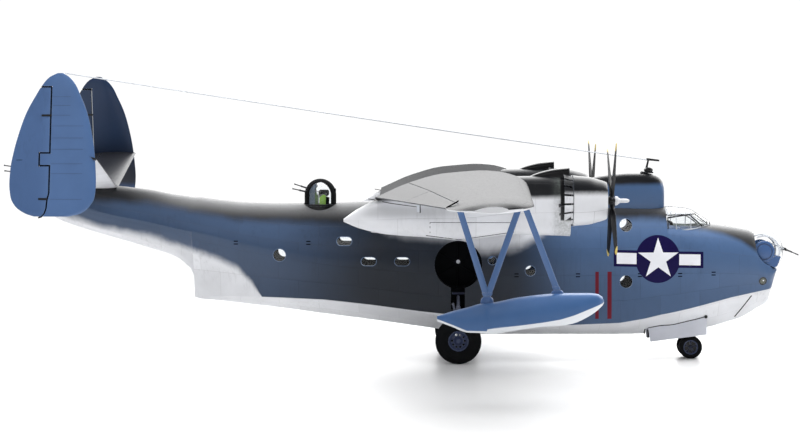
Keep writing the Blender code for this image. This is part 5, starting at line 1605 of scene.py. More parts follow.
def make_fin_details(side):
    """The dark hinge gap, hinge brackets, and the engraved lines of the fin's forward part."""
    sign = SIDES[side]
    details = Piece("fin_details_" + side)
    for face in (1, -1):
        bars = [
            (rectangle(-145.8, -141.6, 105.1, 105.9), "black_paint"),
            (rectangle(-146.3, -142.6, 71.1, 71.9), "black_paint"),
        ]
        if face == sign:
            bars += [(rectangle(-155.8, -153.3, 87.2, 87.4), "dark_inside")]
            for front, levels in FIN_LINES:
                bars += [(rectangle(-141.4, front, z, z + 0.18), "fin_line") for z in levels]
        else:
            # Painted highlight: a pale line along the rudder's hinge on the shaded inner face.
            bars += [(rectangle(-142.0, -141.7, 88.0, 116.6), "pale_frame")]
        for outline, name in bars:
            points, faces = cut_to_grid(outline, 1.5)
            lift = 0.175 if name == "black_paint" else 0.025
            details.add([on_fin(sign, face, x, z, lift) for x, _, z in points], faces, name)
    notch_x, low, high = RUDDER_NOTCH
    hinge = RUDDER_HINGE_X
    lines = (
        (*RUDDER_FOOT, (hinge, 74.0)),
        ((hinge, 74.0), (hinge, low), (notch_x, low), (notch_x, high), (hinge, high)),
        ((hinge, high), (hinge, RUDDER_TOP_Z), (-146.3, RUDDER_TOP_Z)),
    )
    for line in lines:
        for (x0, z0), (x1, z1) in zip(line, line[1:]):
            steps = max(2, int(hypot(x1 - x0, z1 - z0)))
            path = []
            for t in np.linspace(0, 1, steps):
                x, z = x0 + (x1 - x0) * t, z0 + (z1 - z0) * t
                deep = (on_fin(1, 1, x, z, 0.0)[1] - fin_middle_y(1, z)) - 0.25
                path.append((x, z, max(deep, 0.2)))
            across = Vector((z1 - z0, 0, x0 - x1)).normalized() * 0.31
            rings = []
            for x, z, deep in path:
                middle = fin_middle_y(sign, z)
                corners = rectangle(-1, 1, -1, 1)
                rings.append([(x + u * across.x, middle + v * deep, z + u * across.z) for u, v in corners])
            details.skin(rings, "dark_inside")
    details.make()


def make_tail(side):
    sign = SIDES[side]
    fin_skin("fin_" + side, sign, "fin_paint").stand_in(cuts=[rudder_zone("gap", 0.32)])
    fin_skin("rudder_" + side, sign, "rudder_paint").stand_in(keeps=[rudder_zone("zone", -0.32)])
    make_fin_details(side)
    rows = [
        row_at(TAILPLANE_ROOT, TAILPLANE_END, y) for y in np.linspace(TAILPLANE_ROOT[0], TAILPLANE_END[0], 16)
    ]
    near_fin = fin_skin("fin_clearance", sign, "dark_inside", SEAM)
    gap = surface_zone("elevator_gap", sign, ELEVATOR_Y, ELEVATOR_HINGE, -160, SEAM / 2, "dark_inside")
    wing_skin("tailplane_" + side, rows, sign, "tail_paint").stand_in(cuts=[hull_clearance(), near_fin, gap])
    zone = surface_zone("elevator_zone", sign, ELEVATOR_Y, ELEVATOR_HINGE, -160, -SEAM / 2, "dark_inside")
    near_fin = fin_skin("fin_clearance", sign, "dark_inside", SEAM)
    wing_skin("elevator_" + side, rows, sign, "tail_paint").stand_in(cuts=[near_fin], keeps=[zone])


# Cabin roof

RADOME_LINES = (
    (72.0, 1.8, 71.0),
    (78.0, 4.4, 76.2),
    (84.0, 5.6, 78.4),
    (92.0, 6.2, 79.7),
    (100.0, 6.2, 80.3),
    (107.0, 6.1, 80.3),
    (111.5, 5.3, 79.2),
    (114.1, 3.9, 76.7),
    (114.7, 2.8, 74.4),
)
MAST_FOOT = (106.8, 80.6)
MAST_TOP = (108.05, 86.1)
MAST_TUBE = ((107.3, 86.4), (112.8, 85.8))
LOOP_CENTRE = (109.3, 81.1)


def make_radome():
    rows = rows_every(RADOME_LINES, 0.8)
    radome = Piece("radome").skin(
        [oval_ring(x, 0, width, 60.0, top, 2.7) for x, width, top in rows], "radome_paint"
    )
    radome.stand_in(cuts=[hull_clearance(-0.2)])


def middle_place(spot):
    return (spot[0], 0, spot[1])


def make_aerials():
    mast = Piece("aerial_mast").block((104.6, -1.6, 80.3), (110.2, 1.6, 81.0), "dark_paint", 0.3)
    mast.rod(middle_place(MAST_FOOT), middle_place(MAST_TOP), 0.55, "black_paint", 0.4, 20)
    mast.rod(*[middle_place(end) for end in MAST_TUBE], 0.55, "black_paint", 0.42, 20)
    x, z = LOOP_CENTRE
    lump = [(2.0 * sin(a), 1.25 - 1.25 * cos(a)) for a in np.linspace(0, pi, 13)]
    lump[0], lump[-1] = (0, lump[0][1]), (0, lump[-1][1])
    mast.lathe(lump, (x - 1.2, 0, z - 0.6), (0, 0, 1), "black_paint", 24)
    for bolt_x in (105.3, 109.5):
        for y in (-1.1, 1.1):
            mast.rod((bolt_x, y, 80.9), (bolt_x, y, 81.15), 0.22, "dark_metal", sides=8)
    mast.stand_in()
    start, end = Vector((MAST_TOP[0] - 0.6, 0, MAST_TOP[1])), Vector((-136.6, fin_middle_y(-1, 122.8), 122.8))
    path = [start.lerp(end, t) - Vector((0, 0, 1.6 * t * (1 - t))) for t in np.linspace(0, 1, 25)]
    Piece("aerial_wire").wire(path, 0.25, "sill_white").make()


CANOPY_LINES = (
    (115.4, 13.2, 50.0, 12.9, 56.0, 11.4, 61.8, 7.2, 64.8, 0.0, 65.9),
    (119.6, 12.8, 50.0, 12.6, 56.0, 10.9, 62.2, 6.9, 64.6, 0.0, 65.6),
    (125.7, 11.6, 50.0, 11.3, 56.6, 9.6, 62.6, 6.0, 64.0, 0.0, 64.8),
    (129.0, 9.6, 50.0, 9.2, 57.0, 7.4, 61.2, 4.8, 62.6, 0.0, 63.0),
    (134.4, 4.8, 50.0, 4.8, 58.2, 3.6, 59.1, 2.4, 59.4, 0.0, 59.5),
)


def canopy_point(x, level, lift=0.0):
    """A point on the canopy. level runs 0 to 8, over the sills at 1 and 7 and the crown at 4."""
    corners = read_curve(CANOPY_LINES, [x])[0][1:].reshape(5, 2)
    side = 1 if level <= 4 else -1
    y, z = read_curve(
        [(k, *corner) for k, corner in enumerate(corners)], [level if level <= 4 else 8 - level]
    )[0][1:]
    away = Vector((y, z - 52.0)).normalized() * lift
    return (x, side * (y + away.x), z + away.y)


def canopy_band(piece, line, half_width, across, paint, lift=0.16, depth=0.35):
    """A frame bar that follows the canopy. line is a list of (x, level) points."""
    rings = []
    for x, level in line:
        low = canopy_point(x, level, -depth)
        high = canopy_point(x, level, lift)
        step = np.array(across) * half_width
        rings.append(
            [np.array(low) - step, np.array(low) + step, np.array(high) + step, np.array(high) - step]
        )
    piece.skin(rings, paint)


def canopy_level(x, z):
    """How far round the canopy's section a height is, on its starboard half."""
    levels = np.linspace(0.0, 4.0, 81)
    return float(np.interp(z, [canopy_point(x, t)[2] for t in levels], levels))


def make_canopy():
    levels = np.linspace(0.75, 7.25, 40)
    rings = []
    for x in spaced((115.4, 119.6, 125.7, 129.0, 134.4), 1.0):
        rings.append(
            [canopy_point(x, t) for t in levels] + [canopy_point(x, t, -0.35) for t in reversed(levels)]
        )
    Piece("canopy_panes").skin(rings, "clear_plastic").make(slot="clear_plastic")
    frames = Piece("cockpit_canopy")
    for x, width in ((115.45, 0.12), (119.0, 0.14), (125.4, 0.16)):
        canopy_band(
            frames, [(x, t) for t in np.linspace(0.9, 7.1, 36)], width, (1, 0, 0), "pale_frame", 0.1, 0.3
        )
    along = spaced((115.5, 134.3), 1.2)
    for level in (1.0, 7.0):
        canopy_band(frames, [(x, level) for x in along], 0.22, (0, 0, 1), "sill_white")
    canopy_band(frames, [(x, 4.0) for x in along], 0.14, (0, 1, 0), "pale_frame", 0.1, 0.3)
    lines = (
        (((115.4, 61.5), (120.0, 62.2), (124.8, 62.8), (127.6, 63.0)), 0.22, "black_paint"),
        (((124.8, 62.8), (127.0, 60.9), (129.2, 59.0), (131.0, 57.4)), 0.28, "black_paint"),
        (((127.6, 63.0), (129.6, 61.3), (131.4, 59.9), (133.0, 58.9)), 0.12, "dark_metal"),
        (((115.5, 56.2), (115.45, 59.0), (115.4, 61.5)), 0.2, "black_paint"),
    )
    for line, width, name in lines:
        across = (1, 0, 0) if abs(line[-1][0] - line[0][0]) < 1.0 else (0, 0, 1)
        path = read_curve([(k, *spot) for k, spot in enumerate(line)], np.linspace(0, len(line) - 1, 16))
        for sign in (1, -1):
            levels_along = [(x, canopy_level(x, z)) for _, x, z in path]
            canopy_band(frames, [(x, t if sign > 0 else 8 - t) for x, t in levels_along], width, across, name)
    canopy_band(frames, [(134.2, t) for t in np.linspace(1.0, 7.0, 16)], 0.2, (1, 0, 0), "black_paint")
    frames.stand_in()


def make_cockpit():
    inside = Piece("cockpit_floor_and_seats")
    inside.block((116.4, -11.0, 47.5), (132.0, 11.0, 48.5), "interior_paint")
    inside.block((128.6, -5.2, 48.2), (129.8, 5.2, 57.4), "dark_inside", 0.4)
    inside.block((127.2, -5.0, 57.0), (130.2, 5.0, 57.8), "dark_inside", 0.3)
    for y in (-4.4, 4.4):
        inside.block((117.8, y - 2.5, 48.1), (122.2, y + 2.5, 51.4), "interior_paint", 0.5)
        inside.block((118.0, y - 2.3, 51.3), (122.0, y + 2.3, 52.1), "dark_inside", 0.4)
        inside.block((117.0, y - 2.3, 51.0), (118.0, y + 2.3, 57.4), "pale_interior", 0.4)
        inside.block((116.3, y - 1.5, 56.2), (118.3, y + 1.5, 59.6), "dark_inside", 0.6)
        for offset in (-1.2, 1.2):
            inside.rod((117.3, y + offset, 55.6), (117.3, y + offset, 57.4), 0.2, "dark_metal", sides=8)
        inside.rod((126.4, y, 48.3), (125.6, y, 54.4), 0.35, "dark_metal")
        inside.lathe(hoop_profile(1.5, 0.22), (125.4, y, 54.6), (-1, 0, 0.3), "dark_inside", 24)
        for k in range(3):
            inside.rod(
                (128.4, y - 1.6 + 1.6 * k, 55.6), (128.7, y - 1.6 + 1.6 * k, 55.6), 0.6, "white_marking",
                sides=14,
            )
    inside.stand_in(slot="interior_paint")


# Turrets


def gun(piece, start, end):
    """A machine gun's barrel: a cooling jacket with rings of bumps, and a thinner muzzle."""
    start, end = Vector(start), Vector(end)
    length = (end - start).length
    radius, jacket = 0.45, length - 3.2
    profile = [(0, 0), (radius, 0)]
    for k in range(int(jacket / 0.9)):
        height = 0.4 + 0.9 * k
        profile += [
            (radius, height), (radius * 0.82, height + 0.12), (radius * 0.82, height + 0.42),
            (radius, height + 0.55),
        ]
    profile += [(radius, jacket), (radius * 0.6, jacket + 0.3), (radius * 0.6, length - 0.5)]
    profile += [(radius * 0.8, length - 0.4), (radius * 0.8, length), (0, length)]
    piece.lathe(profile, start, end - start, "dark_metal", 16)


def dome_height(x, y):
    """Height of the dorsal dome's outside over a spot measured from its axis."""
    reach = min((x * x + y * y) / DORSAL_RADIUS**2, 1.0)
    return DORSAL_DOME_Z + (DORSAL_TOP_Z - DORSAL_DOME_Z) * sqrt(1 - reach)


def make_dorsal_turret():
    """Built about the turret's own axis."""
    origin = (DORSAL_X, 0, 0)
    radius = DORSAL_RADIUS
    base = Piece("dorsal_turret_base")
    seat = DORSAL_SEAT_Z + SEAM
    profile = [
        (0, 65.4), (5.7, 65.4), (5.9, 66.0), (6.0, 66.9), (radius + 0.12, 66.9), (radius + 0.12, 66.1),
        (radius, 66.0),
    ]
    base.lathe(profile + [(radius, seat), (0, seat)], (0, 0, 0), ALONG_Z, "black_paint", 56)
    for sign in SIDES.values():
        crown = [(cos(a), None) for a in np.linspace(pi, 0, 41)]
        turns = [(-1.0, 66.7), (-1.0, 68.7), *crown, (1.0, 68.7), (1.0, 66.7)]
        # The second band, inside the glass on the dome's aft part, is a painted reflection in the glass.
        for reach, wide, name in ((0.1, 1.0, "dark_inside"), (-0.45, 1.22, "painted_glass_reflection")):
            rings = []
            for across, height in turns:
                if name == "painted_glass_reflection" and across > -0.35:
                    continue
                edge = wide * (3.7 + 1.0 * abs(across))
                loop = []
                ys = np.linspace(0.0, edge, 7)
                for lift, row in ((reach, ys), (reach - 0.25, ys[::-1])):
                    for y in row:
                        x = across * sqrt((radius + lift) ** 2 - y * y)
                        level = height
                        if height is None:
                            level = dome_height(x * radius / (radius + lift), y) + lift
                        loop.append((x, sign * y, level))
                rings.append(loop)
            base.skin(rings, name)
    base.rod((radius - 0.6, -1.5, 73.0), (radius - 0.1, -1.5, 73.3), 0.5, "dark_inside")
    # The aft seat backs take the darker green: painted shade.
    for y in (-2.6, 2.6):
        base.prism(
            ((-4.0, 65.2), (-0.9, 65.2), (-0.9, 70.4), (-2.0, 72.0), (-2.8, 71.0)), 1, y - 1.3, y + 1.3,
            "shaded_seat_green",
        )
        base.prism(
            ((-0.3, 65.2), (2.5, 65.2), (2.5, 70.6), (1.4, 71.2), (-0.3, 69.8)), 1, y - 1.4, y + 1.4,
            "seat_green",
        )
        base.prism(((2.5, 65.4), (3.6, 65.4), (3.8, 69.6), (2.5, 70.0)), 1, y - 1.3, y + 1.3, "dark_inside")
    for y in (-2.0, 2.0):
        base.block((-0.7, y - 0.9, 70.4), (3.7, y + 0.9, 73.0), "dark_inside", 0.5)
        base.block((-0.4, y - 1.5, 69.4), (2.0, y - 0.9, 71.4), "dark_metal", 0.2)
    base.rod((2.4, -3.6, 71.2), (2.4, 3.6, 71.2), 0.5, "dark_metal", sides=16)
    base.rod((5.4, 0, 72.4), (6.8, 0, 72.9), 0.7, "black_paint", sides=16)
    for foot, muzzle in (((-1.0, 2.0, 72.1), (-11.5, 2.0, 75.5)), ((-1.0, -2.0, 71.1), (-12.1, -2.0, 73.6))):
        base.rod(foot, muzzle, 0.22, "pale_frame", sides=10)
        gun(base, Vector(foot).lerp(Vector(muzzle), 0.42), muzzle)
    base.stand_in(body="dorsal_turret", slot="black_paint", origin=origin)
    rise, thick = DORSAL_TOP_Z - DORSAL_DOME_Z, 0.4
    turns = np.linspace(0, pi / 2, 20)
    outer = [(radius * cos(a), DORSAL_DOME_Z + rise * sin(a)) for a in turns[::-1]]
    inner = [((radius - thick) * cos(a), DORSAL_DOME_Z + (rise - thick) * sin(a)) for a in turns]
    outer[0], inner[-1] = (0.0, outer[0][1]), (0.0, inner[-1][1])
    profile = outer + [(radius, 67.0), (radius - thick, 67.0)] + inner
    glass = Piece("dorsal_turret_dome").lathe(profile, (0, 0, 0), ALONG_Z, "clear_plastic", 56)
    slots = Piece("gun_slots")
    for y in (2.0, -2.0):
        slots.block((-9, y - 0.75, 71.4), (-4.4, y + 0.75, 75.6), "clear_plastic", 0.3)
    glass.stand_in(body="dorsal_turret", slot="clear_plastic", cuts=[slots], origin=origin)


def ball_ring(centre, radius, turn, levels, facing):
    x, z = centre
    ring = []
    for y in levels:
        reach = sqrt(max(radius**2 - y * y, 0.0))
        ring.append((x + facing * reach * cos(turn), y, z + reach * sin(turn)))
    return ring


def ball_band(centre, outside, inside, turn, levels, facing):
    """A ring across a ball, over its outside and back under."""
    outer = ball_ring(centre, outside, turn, levels, facing)
    return outer + ball_ring(centre, inside, turn, levels[::-1], facing)


def make_ball_turret(label, centre, radius, facing, guns):
    """A ball turret: a clear shell between two cheeks, with guns on a cross beam."""
    x, z = centre
    half = radius * 0.62
    levels = list(np.linspace(-half, half, 17))
    turns = np.linspace(-2.05, 2.05, 40)
    rings = [ball_band(centre, radius, radius - 0.4, t, levels, facing) for t in turns]
    glass = Piece(label + "_turret_glass").skin(rings, "clear_plastic")
    holes = Piece("gun_holes")
    for start, end in guns:
        holes.rod(start, end, 0.75, "clear_plastic", sides=20)
    glass.stand_in(slot="clear_plastic", cuts=[holes])
    mount = Piece(label + "_turret_mount")
    for y, inner in ((-half - 0.05, 0.45), (-half / 3, 0.1), (half / 3, 0.1), (half + 0.05, 0.45)):
        band = [y - 0.1, y + 0.1]
        rings = [ball_band(centre, radius + 0.05, radius - inner, t, band, facing) for t in turns]
        mount.skin(rings, "sill_white")
    for turn in (-1.2, -0.3, 0.6, 1.5):
        rings = []
        for y in levels:
            edge = [
                ball_ring(centre, radius + out, turn + side * 0.1 / radius, [y], facing)[0]
                for side, out in ((-1, -0.1), (1, -0.1), (1, 0.05), (-1, 0.05))
            ]
            rings.append(edge)
        mount.skin(rings, "sill_white")
    for sign in SIDES.values():
        start = (x, sign * (half + 0.1), z)
        wide = radius * 0.52
        cheek = [
            (0, 0), (wide, 0), (wide, 0.5), (wide - 0.25, 0.95), (wide - 1.0, 1.1), (wide - 1.15, 0.75),
            (wide - 1.5, 0.75),
        ]
        cheek += [(wide - 1.6, 1.2), (wide - 2.1, 1.45), (0, 1.5)]
        mount.lathe(cheek, start, (0, sign, 0), "blue_paint", 40)
        groove = (
            (wide - 1.16, 0.8), (wide - 1.16, 0.7), (wide - 1.49, 0.7), (wide - 1.49, 0.8), (wide - 1.16, 0.8)
        )
        mount.lathe(groove, start, (0, sign, 0), "fin_line", 40)
        if label == "bow":
            foot = (
                (155.6, 43.8), (159.6, 43.3), (162.9, 44.7), (164.9, 44.4), (163.3, 40.3), (162.0, 39.7),
                (156.8, 42.4),
            )
            mount.prism(foot, 1, *span(sign, 5.0, 6.4), "blue_paint")
            shadow = (
                (155.9, 43.2), (157.0, 41.9), (162.2, 39.2), (162.3, 39.5), (157.1, 42.3), (156.3, 43.5)
            )
            mount.prism(shadow, 1, *span(sign, 5.6, 6.5), "dark_inside")
    if label == "bow":
        lip = ((163.4, 44.6), (164.9, 44.4), (163.4, 40.3), (162.2, 40.0))
        mount.prism(lip, 1, -5.0, 5.0, "blue_paint")
    mount.rod((x, -half - 0.2, z), (x, half + 0.2, z), 1.3, "dark_metal", sides=20)
    mount.block((x - 3.2, -2.2, z - 5.6), (x + 0.8, 2.2, z - 2.0), "seat_green", 0.4)
    for start, end in guns:
        start, end = Vector(start), Vector(end)
        along = (end - start).normalized()
        reach = 1.7 - facing * 1.7
        mount.block(start - Vector((reach, 0.8, 2.4)), start + Vector((reach, 0.8, 0.5)), "black_paint", 0.25)
        shell = radius * 0.97 - abs((start - Vector((x, start.y, z))).dot(along))
        joint = start + along * shell
        mount.rod(start, joint, 0.26, "pale_frame", sides=10)
        gun(mount, joint, end)
        mount.lathe(ball_profile(0.75, 11), joint, along, "black_paint", 20)
    mount.stand_in()


def make_ball_turrets():
    make_ball_turret(
        "bow", BOW_BALL, BOW_BALL_RADIUS, 1, [((160.5, y, 50.3), (173.0, y, 45.0)) for y in (2.6, -2.6)]
    )
    guns = [((-162.1, 1.9, 82.0), (-172.7, 1.9, 83.6)), ((-162.1, -1.9, 80.2), (-171.8, -1.9, 81.3))]
    make_ball_turret("tail", TAIL_BALL, TAIL_BALL_RADIUS, -1, guns)
    lamps = Piece("bow_lights")
    x, z, radius = BOW_LIGHT
    for sign in SIDES.values():
        side_band(lamps, sign, circle(x, z, 1.2), circle(x, z, radius + 0.1), 0.1, "black_paint")
        side_patch(lamps, sign, circle(x, z, 1.22), -0.15, "lamp_amber")
        # Painted glint: a small white spot on each lamp's lens.
        side_patch(lamps, sign, circle(x + 0.25, z + 0.2, 0.32, 12), -0.1, "white_marking")
    lamps.make()


# Undercarriage

MAIN_WHEEL = (25.35, 26.2, 9.8)
# Radius and width of a tyre, and the radius of its hub.
MAIN_TYRE = (9.8, 5.4, 4.4)
NOSE_TYRE = (5.0, 3.0, 3.2)
MAIN_LEG_Y = 22.2
NOSE_AXLE = (126.3, 5.0)
NOSE_WHEEL_Y = 4.6


def tyre_profile(radius, width, hub, grooves):
    """Section of a tyre, from the outboard bead round the tread to the inboard bead."""
    half, depth = width / 2, radius - hub
    side = [
        (hub - 0.25, half * 0.55), (hub, half * 0.8), (hub + depth * 0.15, half * 0.95),
        (hub + depth * 0.35, half),
    ]
    side += [
        (hub + depth * 0.6, half * 0.95), (hub + depth * 0.8, half * 0.78), (hub + depth * 0.93, half * 0.58)
    ]
    tread = []
    for level in grooves:
        tread += [
            (radius, level + 0.17), (radius - 0.22, level + 0.1), (radius - 0.22, level - 0.1),
            (radius, level - 0.17),
        ]
    return side + tread + [(r, -h) for r, h in reversed(side)]


def make_wheel(piece, centre, sign, tyre, grooves):
    """A tyre and the rims of its hub. The hub's disc is a piece of its own."""
    radius, width, hub = tyre
    profile = tyre_profile(radius, width, hub, grooves)
    piece.lathe(profile + profile[:1], centre, (0, sign, 0), "tyre_rubber", 96)
    half = width / 2
    rim = [
        (hub - 0.05, half * 0.78), (hub - 0.3, half * 0.85), (hub - 0.5, half * 0.7),
        (hub - 0.55, -half * 0.7),
    ]
    rim += [(hub - 0.3, -half * 0.85), (hub - 0.05, -half * 0.78), (hub - 0.05, half * 0.78)]
    piece.lathe(rim, centre, (0, sign, 0), "hub_paint", 64)


def make_main_gear(side):
    """The wheel is built about its own centre."""
    sign = SIDES[side]
    x, y, z = MAIN_WHEEL
    body = "main_wheel_" + side
    tyre = Piece(body)
    make_wheel(tyre, (0, 0, 0), sign, MAIN_TYRE, (-1.3, 0.0, 1.3))
    tyre.stand_in(body=body, slot="tyre_paint", origin=(x, sign * y, z))
    disc = [(0, 1.5), (0.9, 1.5), (1.1, 1.3), (1.3, 0.9), (2.0, 0.35), (3.0, 0.5), (3.6, 1.1), (3.95, 1.5)]
    disc += [(3.95, -1.2), (3.0, -0.2), (2.0, -0.4), (1.7, -1.35), (1.2, -1.35), (1.2, 0.25), (0, 0.25)]
    hub = Piece("main_hub_" + side).lathe(disc, (0, 0, 0), (0, sign, 0), "hub_paint", 64)
    holes = Piece("hub_holes")
    for k in range(10):
        across, up = polar(2.7, 2 * pi * k / 10)
        holes.rod((across, -3, up), (across, 3, up), 0.5, "black_paint", sides=16)
    hub.make(body, (), "gear_paint", cuts=[holes], origin=(x, sign * y, z))
    leg_y = sign * MAIN_LEG_Y
    leg = Piece("main_leg_" + side)
    stages = (
        (0, 0), (0.75, 0), (0.75, 5.6), (0.95, 5.8), (0.95, 6.4), (1.05, 6.5), (1.05, 14.4), (0.9, 14.6),
        (0.9, 15.4), (0, 15.4),
    )
    leg.lathe(stages, (x, leg_y, z - 1.0), (0, 0, 1), "gear_paint", 24)
    leg.rod((x, leg_y, z + 1.2), (x, leg_y, z + 4.4), 0.8, "steel", sides=24)
    leg.rod((x, sign * (MAIN_LEG_Y - 0.6), z), (x, sign * (y - 0.25), z), 0.9, "gear_paint", sides=20)
    leg.rod((x, leg_y, 23.9), (x, sign * 18.4, 27.6), 1.0, "gear_paint", sides=20)
    leg.rod((x, leg_y, 15.5), (x - 2.2, leg_y, 25.2), 0.45, "gear_paint", sides=16)
    leg.rod(
        (x - 2.2, sign * (MAIN_LEG_Y + 0.6), 25.0), (x - 2.2, sign * 17.8, 25.0), 0.55, "gear_paint", sides=16
    )
    leg.rod((x - 2.6, sign * 20.4, 29.6), (x + 2.6, sign * 20.4, 29.6), 0.5, "dark_hub", sides=16)
    for low, high in (
        ((x + 0.7, leg_y, 10.6), (x + 2.4, leg_y, 13.2)), ((x + 2.4, leg_y, 13.2), (x + 0.8, leg_y, 16.0))
    ):
        leg.rod(low, high, 0.32, "dark_hub")
    leg.stand_in(slot="gear_paint")
    well = Piece("well_fittings_" + side)
    wx, wz = WELL_CENTRE
    ring = [(9.9, 0.0), (9.9, 0.7), (9.3, 0.7), (9.3, 0.0), (9.9, 0.0)]
    for depth in (13.4, 16.4):
        well.lathe(ring, (wx, sign * depth, wz), (0, sign, 0), "dark_inside", 56)
    for k in range(6):
        ends = [polar(reach, pi / 6 + pi * k / 3) for reach in (2.0, 9.6)]
        start, end = [(wx + across, sign * 12.4, wz + up) for across, up in ends]
        well.rod(start, end, 0.35, "dark_inside", sides=10)
    # Painted light: a small white cap at the back of the well, for light seen through a hole there.
    well.lathe(
        [(0.8, 0.0), (0.8, 0.9), (0.6, 0.9), (0.6, 0.6), (0, 0.6)], (wx, sign * 12.1, wz + 0.9), (0, sign, 0),
        "sill_white", 28,
    )
    well.make()


# Radius, and half of the angle that the opening takes there.
NOSE_HUB_OPENING = ((0.95, 0.36), (1.9, 0.45), (2.75, 0.4))
NOSE_DOOR = ((108.5, 7.7), (132.8, 10.8), (132.8, 19.6), (107.3, 14.6))
NOSE_DOOR_Y = (8.3, 9.0)
NOSE_HINGE_Y = 8.75


def make_nose_gear():
    x, z = NOSE_AXLE
    wheels, hubs, holes = Piece("nose_wheels"), Piece("nose_hubs"), Piece("spoke_holes")
    for sign in SIDES.values():
        middle = (0, sign * NOSE_WHEEL_Y, 0)
        make_wheel(wheels, middle, sign, NOSE_TYRE, (-0.6, 0.6))
        disc = [
            (0, 0.9), (0.6, 0.9), (0.75, 0.7), (0.9, 0.45), (2.4, 0.5), (3.1, 0.9), (3.1, -0.5), (0.8, -0.5),
            (0.72, -0.9), (0, -0.9),
        ]
        hubs.lathe(disc, middle, (0, sign, 0), "dark_hub", 48)
        for k in range(5):
            a = 2 * pi * k / 5 + 0.9
            turned = [(r, s) for r, s in NOSE_HUB_OPENING] + [(r, -s) for r, s in reversed(NOSE_HUB_OPENING)]
            low, high = span(sign, NOSE_WHEEL_Y - 0.1, 7.0)
            holes.prism([polar(r, a + s) for r, s in turned], 1, low, high, "black_paint")
    wheels.rod((0, -NOSE_WHEEL_Y, 0), (0, NOSE_WHEEL_Y, 0), 0.72, "steel", sides=20)
    wheels.stand_in(body="nose_wheels", slot="tyre_paint", origin=(x, 0, z))
    hubs.make("nose_wheels", (), "gear_paint", cuts=[holes], origin=(x, 0, z))
    leg = Piece("nose_leg")
    foot, top = Vector((x, 0, z)), Vector((x - 3.4, 0, 21.7))
    up = (top - foot).normalized()
    leg.lathe(
        [(1.9, -1.7), (1.9, 1.7), (1.02, 1.7), (1.02, -1.7), (1.9, -1.7)], foot, ALONG_Y, "gear_paint", 28
    )
    leg.rod(foot + up * 1.6, foot + up * 8.0, 0.85, "steel", sides=24)
    leg.rod(foot + up * 7.0, top, 1.15, "gear_paint", sides=24)
    leg.rod(foot + up * 6.8, foot + up * 7.6, 1.4, "gear_paint", sides=24)
    leg.rod(foot + up * 12.0, Vector((x + 3.6, 0, 21.6)), 0.5, "gear_paint", sides=14)
    elbow = foot + up * 4.6 + Vector((2.2, 0, 0))
    for end in (foot + up * 1.9, foot + up * 7.2):
        leg.rod(end, elbow, 0.35, "gear_paint")
    leg.stand_in(slot="gear_paint")
    for side, sign in SIDES.items():
        near, far = span(sign, *NOSE_DOOR_Y)
        door = Piece("nose_door_" + side).prism(NOSE_DOOR, 1, near, far, "door_paint")
        ribs = Piece("nose_door_ribs_" + side)
        for share in (0.12, 0.5, 0.88):
            low = np.array(NOSE_DOOR[0]) * (1 - share) + np.array(NOSE_DOOR[1]) * share
            high = np.array(NOSE_DOOR[3]) * (1 - share) + np.array(NOSE_DOOR[2]) * share
            rib = (
                (low[0] - 0.3, low[1] + 0.6), (low[0] + 0.3, low[1] + 0.6), (high[0] + 0.3, high[1] - 0.6),
                (high[0] - 0.3, high[1] - 0.6),
            )
            ribs.prism(rib, 1, *span(sign, 8.0, 8.35), "door_paint")
        hinge = []
        for t in np.linspace(0, 1, 12):
            at = 107.7 + 24.6 * t
            section = hull_section(at)[1:]
            under = float(np.interp(NOSE_HINGE_Y, section[:8, 0], section[:8, 1]))
            hinge.append((at, sign * NOSE_HINGE_Y, under - 0.12))
        ribs.wire(hinge, 0.3, "dark_inside")
        knob = Vector(hinge[-1])
        ribs.rod(knob, knob + Vector((0, sign * 0.8, 0)), 0.75, "black_paint", sides=16)
        # Painted shade: a dark block on the door's rear end.
        ribs.block((107.2, near, 9.4), (107.9, far, 13.0), "dark_inside")
        ribs.make()
        door.stand_in(cuts=[hull_clearance()])


# Scene


def make_stage():
    floor, reach = Piece("floor"), 3000
    corners = [(x, y, 0) for x, y in rectangle(-reach, reach, -reach, reach)]
    floor.add(corners, ((0, 1, 2, 3),), "floor")
    made = floor.object()


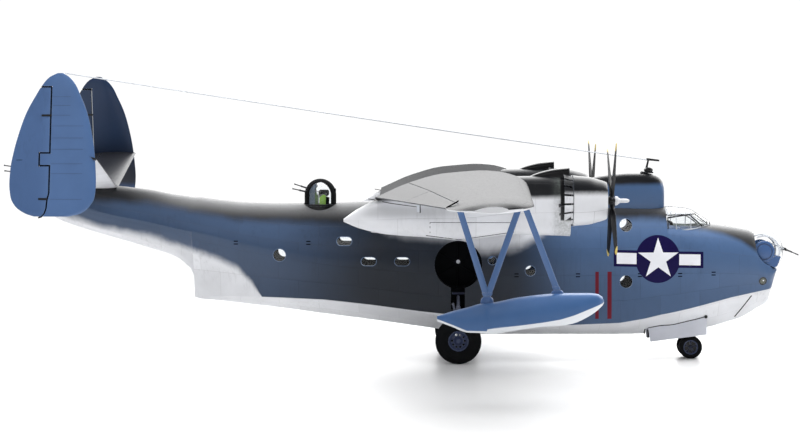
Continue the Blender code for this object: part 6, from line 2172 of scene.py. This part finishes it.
def area_light(name, place, target, size, power, mirrored=True):
    data = bpy.data.lights.new(name, "AREA")
    data.shape = "RECTANGLE"
    data.size, data.size_y = size
    data.energy = power
    light = bpy.data.objects.new(name, data)
    light.location = place
    light.rotation_euler = (Vector(target) - Vector(place)).to_track_quat("-Z", "Y").to_euler()
    light.visible_glossy = mirrored
    bpy.context.scene.collection.objects.link(light)


def make_light():
    """A white studio: shine comes from above and behind the model, and the camera's side is dim."""
    world = bpy.data.worlds.new("studio")
    world.use_nodes = True
    world.node_tree.nodes.clear()
    n = Nodes(world.node_tree)
    path = n.add("ShaderNodeLightPath")
    toward = n.parts(n.add("ShaderNodeTexCoord").outputs["Generated"])
    seen = n.math("MAXIMUM", path.outputs["Is Camera Ray"], path.outputs["Is Transmission Ray"])
    shine = n.times(path.outputs["Is Glossy Ray"], n.minus(1.0, seen))
    lit = n.times(n.step(toward[2], 0.02, 0.3), n.step(toward[2], 0.93, 0.76))
    behind = n.times(n.step(toward[1], 0.0, 0.35), n.fit(lit, 4.2, 0.4))
    behind = n.plus(behind, 0.02)
    soft = n.minus(n.minus(1.0, seen), shine)
    strength = n.fit(seen, 1.05, n.times(shine, behind))
    back = n.add("ShaderNodeBackground")
    back.inputs["Color"].default_value = (1.0, 1.0, 1.0, 1.0)
    n.feed(back.inputs["Strength"], n.fit(soft, 0.42, strength))
    output = n.add("ShaderNodeOutputWorld")
    n.tree.links.new(back.outputs[0], output.inputs[0])
    bpy.context.scene.world = world
    area_light("top_box", (0.05, 0.05, 1.3), (0.0, 0.0, 0.0), (2.0, 1.6), 36.0, mirrored=False)
    area_light("front_box", (-0.35, -1.3, 0.9), (0.0, 0.0, 0.05), (0.9, 0.7), 2.0)
    bpy.context.scene.view_settings.view_transform = "Standard"


make_hull()
make_hull_markings()
make_keel_lines()
make_windows()
make_hand_grips()
for side in SIDES:
    make_wing(side)
    make_nacelle(side)
    make_cowl(side)
    make_engine(side)
    make_propeller(side)
    make_float(side)
    make_tail(side)
    make_main_gear(side)
make_nose_gear()
make_radome()
make_aerials()
make_canopy()
make_cockpit()
make_dorsal_turret()
make_ball_turrets()
make_stage()
make_light()
